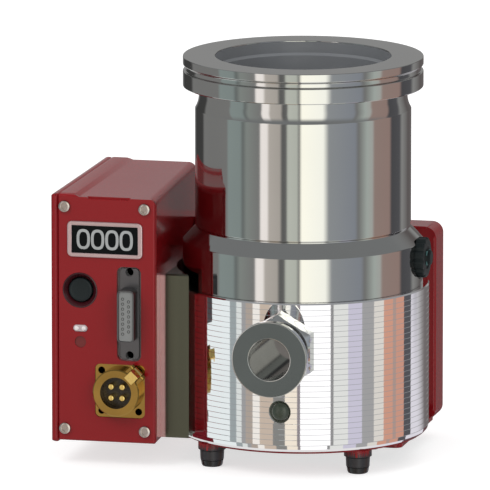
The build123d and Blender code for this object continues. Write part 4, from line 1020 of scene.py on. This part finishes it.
# strips of the studio as polished metal sees them: angle from the camera's side, level, tint;
# each pair says where a part of the room starts and where it is full, on a look of length one
studio = {
    "strips": [
        (-180, 0.24, (1, 1, 1)), (-160, 0.03, (1, 1, 1)), (-136, 0.04, (1, 1, 1)), (-131, 0.15, (1, 1, 1)),
        (-90, 0.16, (1, 1, 1)), (-87, 0.23, (0.88, 1.04, 1.03)), (-71, 0.22, (0.88, 1.04, 1.03)),
        (-68, 0.13, (0.9, 1, 1)), (-63, 0.21, (0.95, 1.04, 1)), (-48, 0.17, (1, 1, 1)),
        (-46, 0.76, (1.04, 0.98, 0.96)), (-39, 0.74, (1.04, 0.98, 0.96)), (-37, 0.38, (1.07, 0.99, 0.92)),
        (-25, 0.34, (1.07, 0.99, 0.92)), (-23, 0.1, (1, 1, 1)), (-18.5, 0.11, (1, 1, 1)),
        (-16.5, 0.45, (0.98, 1.02, 0.93)), (-6.5, 0.42, (0.98, 1.02, 0.93)), (-4.5, 0.12, (1, 1, 1)),
        (-2, 0.95, (1.02, 1.0, 0.89)), (21, 0.88, (1.0, 1.0, 0.93)), (27, 0.25, (0.95, 1, 1.06)),
        (57, 0.22, (0.9, 0.97, 1.12)), (61, 0.15, (1, 1, 1)), (72, 0.34, (0.95, 1.05, 1)),
        (79, 0.33, (1, 1.02, 0.98)), (82, 0.2, (1.25, 0.93, 0.85)), (105, 0.19, (1.3, 0.92, 0.84)),
        (109, 0.06, (1, 1, 1.1)), (125, 0.07, (1, 1, 1.1)), (131, 0.2, (1, 1, 1)),
        (150, 0.08, (1, 0.9, 0.9)),
    ],
    "gain": 2.05,
    # what lower looks see, each strip plain
    "lowStrips": [
        (-180, 0.36, (1, 1, 1)), (-133, 0.065, (1, 0.08, 0.12)), (-101, 0.42, (0.96, 1.03, 1.03)),
        (-73, 0.18, (0.9, 1.02, 1.04)), (-66, 0.36, (0.98, 1.03, 1)), (-60, 0.17, (1, 1, 1)),
        (-56, 0.19, (1.1, 0.95, 0.82)), (-48, 0.42, (1.04, 1, 0.93)), (-41, 0.24, (1.18, 0.98, 0.8)),
        (-29, 0.12, (1, 1, 0.95)), (-18, 0.42, (1.08, 0.98, 0.82)), (-6, 0.14, (1, 0.9, 0.95)),
        (-3, 0.58, (1, 1, 1)), (25, 0.14, (1, 1, 1)), (27, 0.38, (1, 1.02, 0.98)),
        (42, 0.3, (0.98, 0.95, 1.13)), (56, 0.18, (1, 1, 1)), (68, 0.34, (1.04, 1, 0.92)),
        (80, 0.26, (1.18, 0.62, 0.45)), (91, 0.19, (1.1, 0.8, 0.7)), (95, 0.25, (1.18, 0.62, 0.46)),
        (106, 0.045, (1, 1, 1.1)), (117, 0.36, (1, 0.98, 1.06)), (152, 0.06, (1, 0.5, 0.55)),
    ],
    "above": (0.3, 0.31, 0.32),
    "aboveFrom": (0.3, 0.62),
    "lowFrom": (0.225, 0.25),
    "floor": (0.8, 0.79, 0.79),
    "floorFrom": (0.7, 0.9),
    # a bright panel stands low behind the object
    "panel": 0.34,
    "panelFoot": (0.06, 0.1),
    "panelTop": (0.36, 0.26),
    "panelSide": (0.86, 0.93),
    "ambient": 0.72,
}


def makeRoom():
    world = bpy.data.worlds.new("studio")
    scene.world = world
    world.use_nodes = True
    world.cycles.sampling_method = "NONE"
    board = Board(world.node_tree)
    board.tree.nodes.clear()
    x, y, z = board.split(board.add("ShaderNodeTexCoord", out=0))
    down = z * -1.0
    # angle from the camera's side, right positive
    turn = radians(view["azimuth"])
    ahead = x * sin(turn) - y * cos(turn)
    aside = x * cos(turn) + y * sin(turn)
    share = aside.math("ARCTAN2", aside, ahead) / (2 * pi) + 0.5

    def striped(name, interpolation):
        stops = [((angle + 180) / 360, shade(tint, level)) for angle, level, tint in studio[name]]
        settings = {"stops": stops, "interpolation": interpolation}
        ramp = board.add("ShaderNodeValToRGB", settings, {"Fac": share})
        return board.add("ShaderNodeVectorMath", {"operation": "SCALE"}, {0: ramp, 3: studio["gain"]})

    rising, falling = board.fade(z, *studio["panelFoot"]), board.fade(z, *studio["panelTop"])
    panel = rising * falling * board.fade(ahead * -1.0, *studio["panelSide"])
    strips, lowStrips = striped("strips", "LINEAR"), striped("lowStrips", "CONSTANT")
    colour = board.mix(board.fade(z, *studio["aboveFrom"]), strips, (*studio["above"], 1))
    colour = board.mix(panel, colour, grey(studio["panel"]))
    colour = board.mix(board.fade(down, *studio["lowFrom"]), colour, lowStrips)
    colour = board.mix(board.fade(down, *studio["floorFrom"]), colour, (*studio["floor"], 1))
    glossy = board.add("ShaderNodeBackground", sockets={"Color": colour, "Strength": 1.0})
    soft = board.add("ShaderNodeBackground", sockets={"Color": grey(1), "Strength": studio["ambient"]})
    white = board.add("ShaderNodeBackground", sockets={"Color": grey(1), "Strength": 1.0})
    rays = board.tree.nodes.new("ShaderNodeLightPath")
    lit = board.add("ShaderNodeMixShader", sockets={0: rays.outputs["Is Glossy Ray"], 1: soft, 2: glossy})
    seen = board.add("ShaderNodeMixShader", sockets={0: rays.outputs["Is Camera Ray"], 1: lit, 2: white})
    board.add("ShaderNodeOutputWorld", sockets={0: seen})


makeRoom()

lamps = {
    "key": {"at": (-0.9, -1.3, 1.5), "size": 1.2, "power": 15.0},
    "fill": {"at": (1.5, -1.4, 0.7), "size": 1.4, "power": 7.0},
    "back": {"at": (0.3, 1.6, 1.3), "size": 1.2, "power": 9.0},
}


def makeLamps():
    middle = Vector((-0.02, 0, -0.08))
    for name, values in lamps.items():
        data = bpy.data.lights.new(name, "AREA")
        data.shape = "DISK"
        data.size = values["size"]
        data.energy = values["power"]
        lamp = bpy.data.objects.new(name, data)
        lamp.location = values["at"]
        lamp.rotation_euler = (Vector(values["at"]) - middle).to_track_quat("Z", "Y").to_euler()
        lamp.visible_glossy = False
        scene.collection.objects.link(lamp)


makeLamps()

ground = {"radius": 9.0, "glow": 0.66, "tone": 0.5}


def makeFloor():
    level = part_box("rubber_feet")[0].z
    bm = bmesh.new()
    bmesh.ops.create_circle(bm, cap_ends=True, radius=ground["radius"], segments=96)
    for vert in bm.verts:
        vert.co.z = level
    material = bpy.data.materials.new("paleFloor")
    material.use_nodes = True
    board = Board(material.node_tree)
    board.tree.nodes.clear()
    lit = board.add("ShaderNodeBsdfDiffuse", sockets={"Color": grey(ground["tone"])})
    glow = board.add("ShaderNodeEmission", sockets={"Color": grey(1), "Strength": ground["glow"]})
    both = board.add("ShaderNodeAddShader", sockets={0: lit, 1: glow})
    rays = board.tree.nodes.new("ShaderNodeLightPath")
    seen = board.add("ShaderNodeMixShader", sockets={0: rays.outputs["Is Camera Ray"], 1: lit, 2: both})
    board.add("ShaderNodeOutputMaterial", sockets={0: seen})
    floor = makePiece("floor", bm, material)
    floor.visible_glossy = False


makeFloor()
scene.view_settings.view_transform = "Standard"
print("room ready")
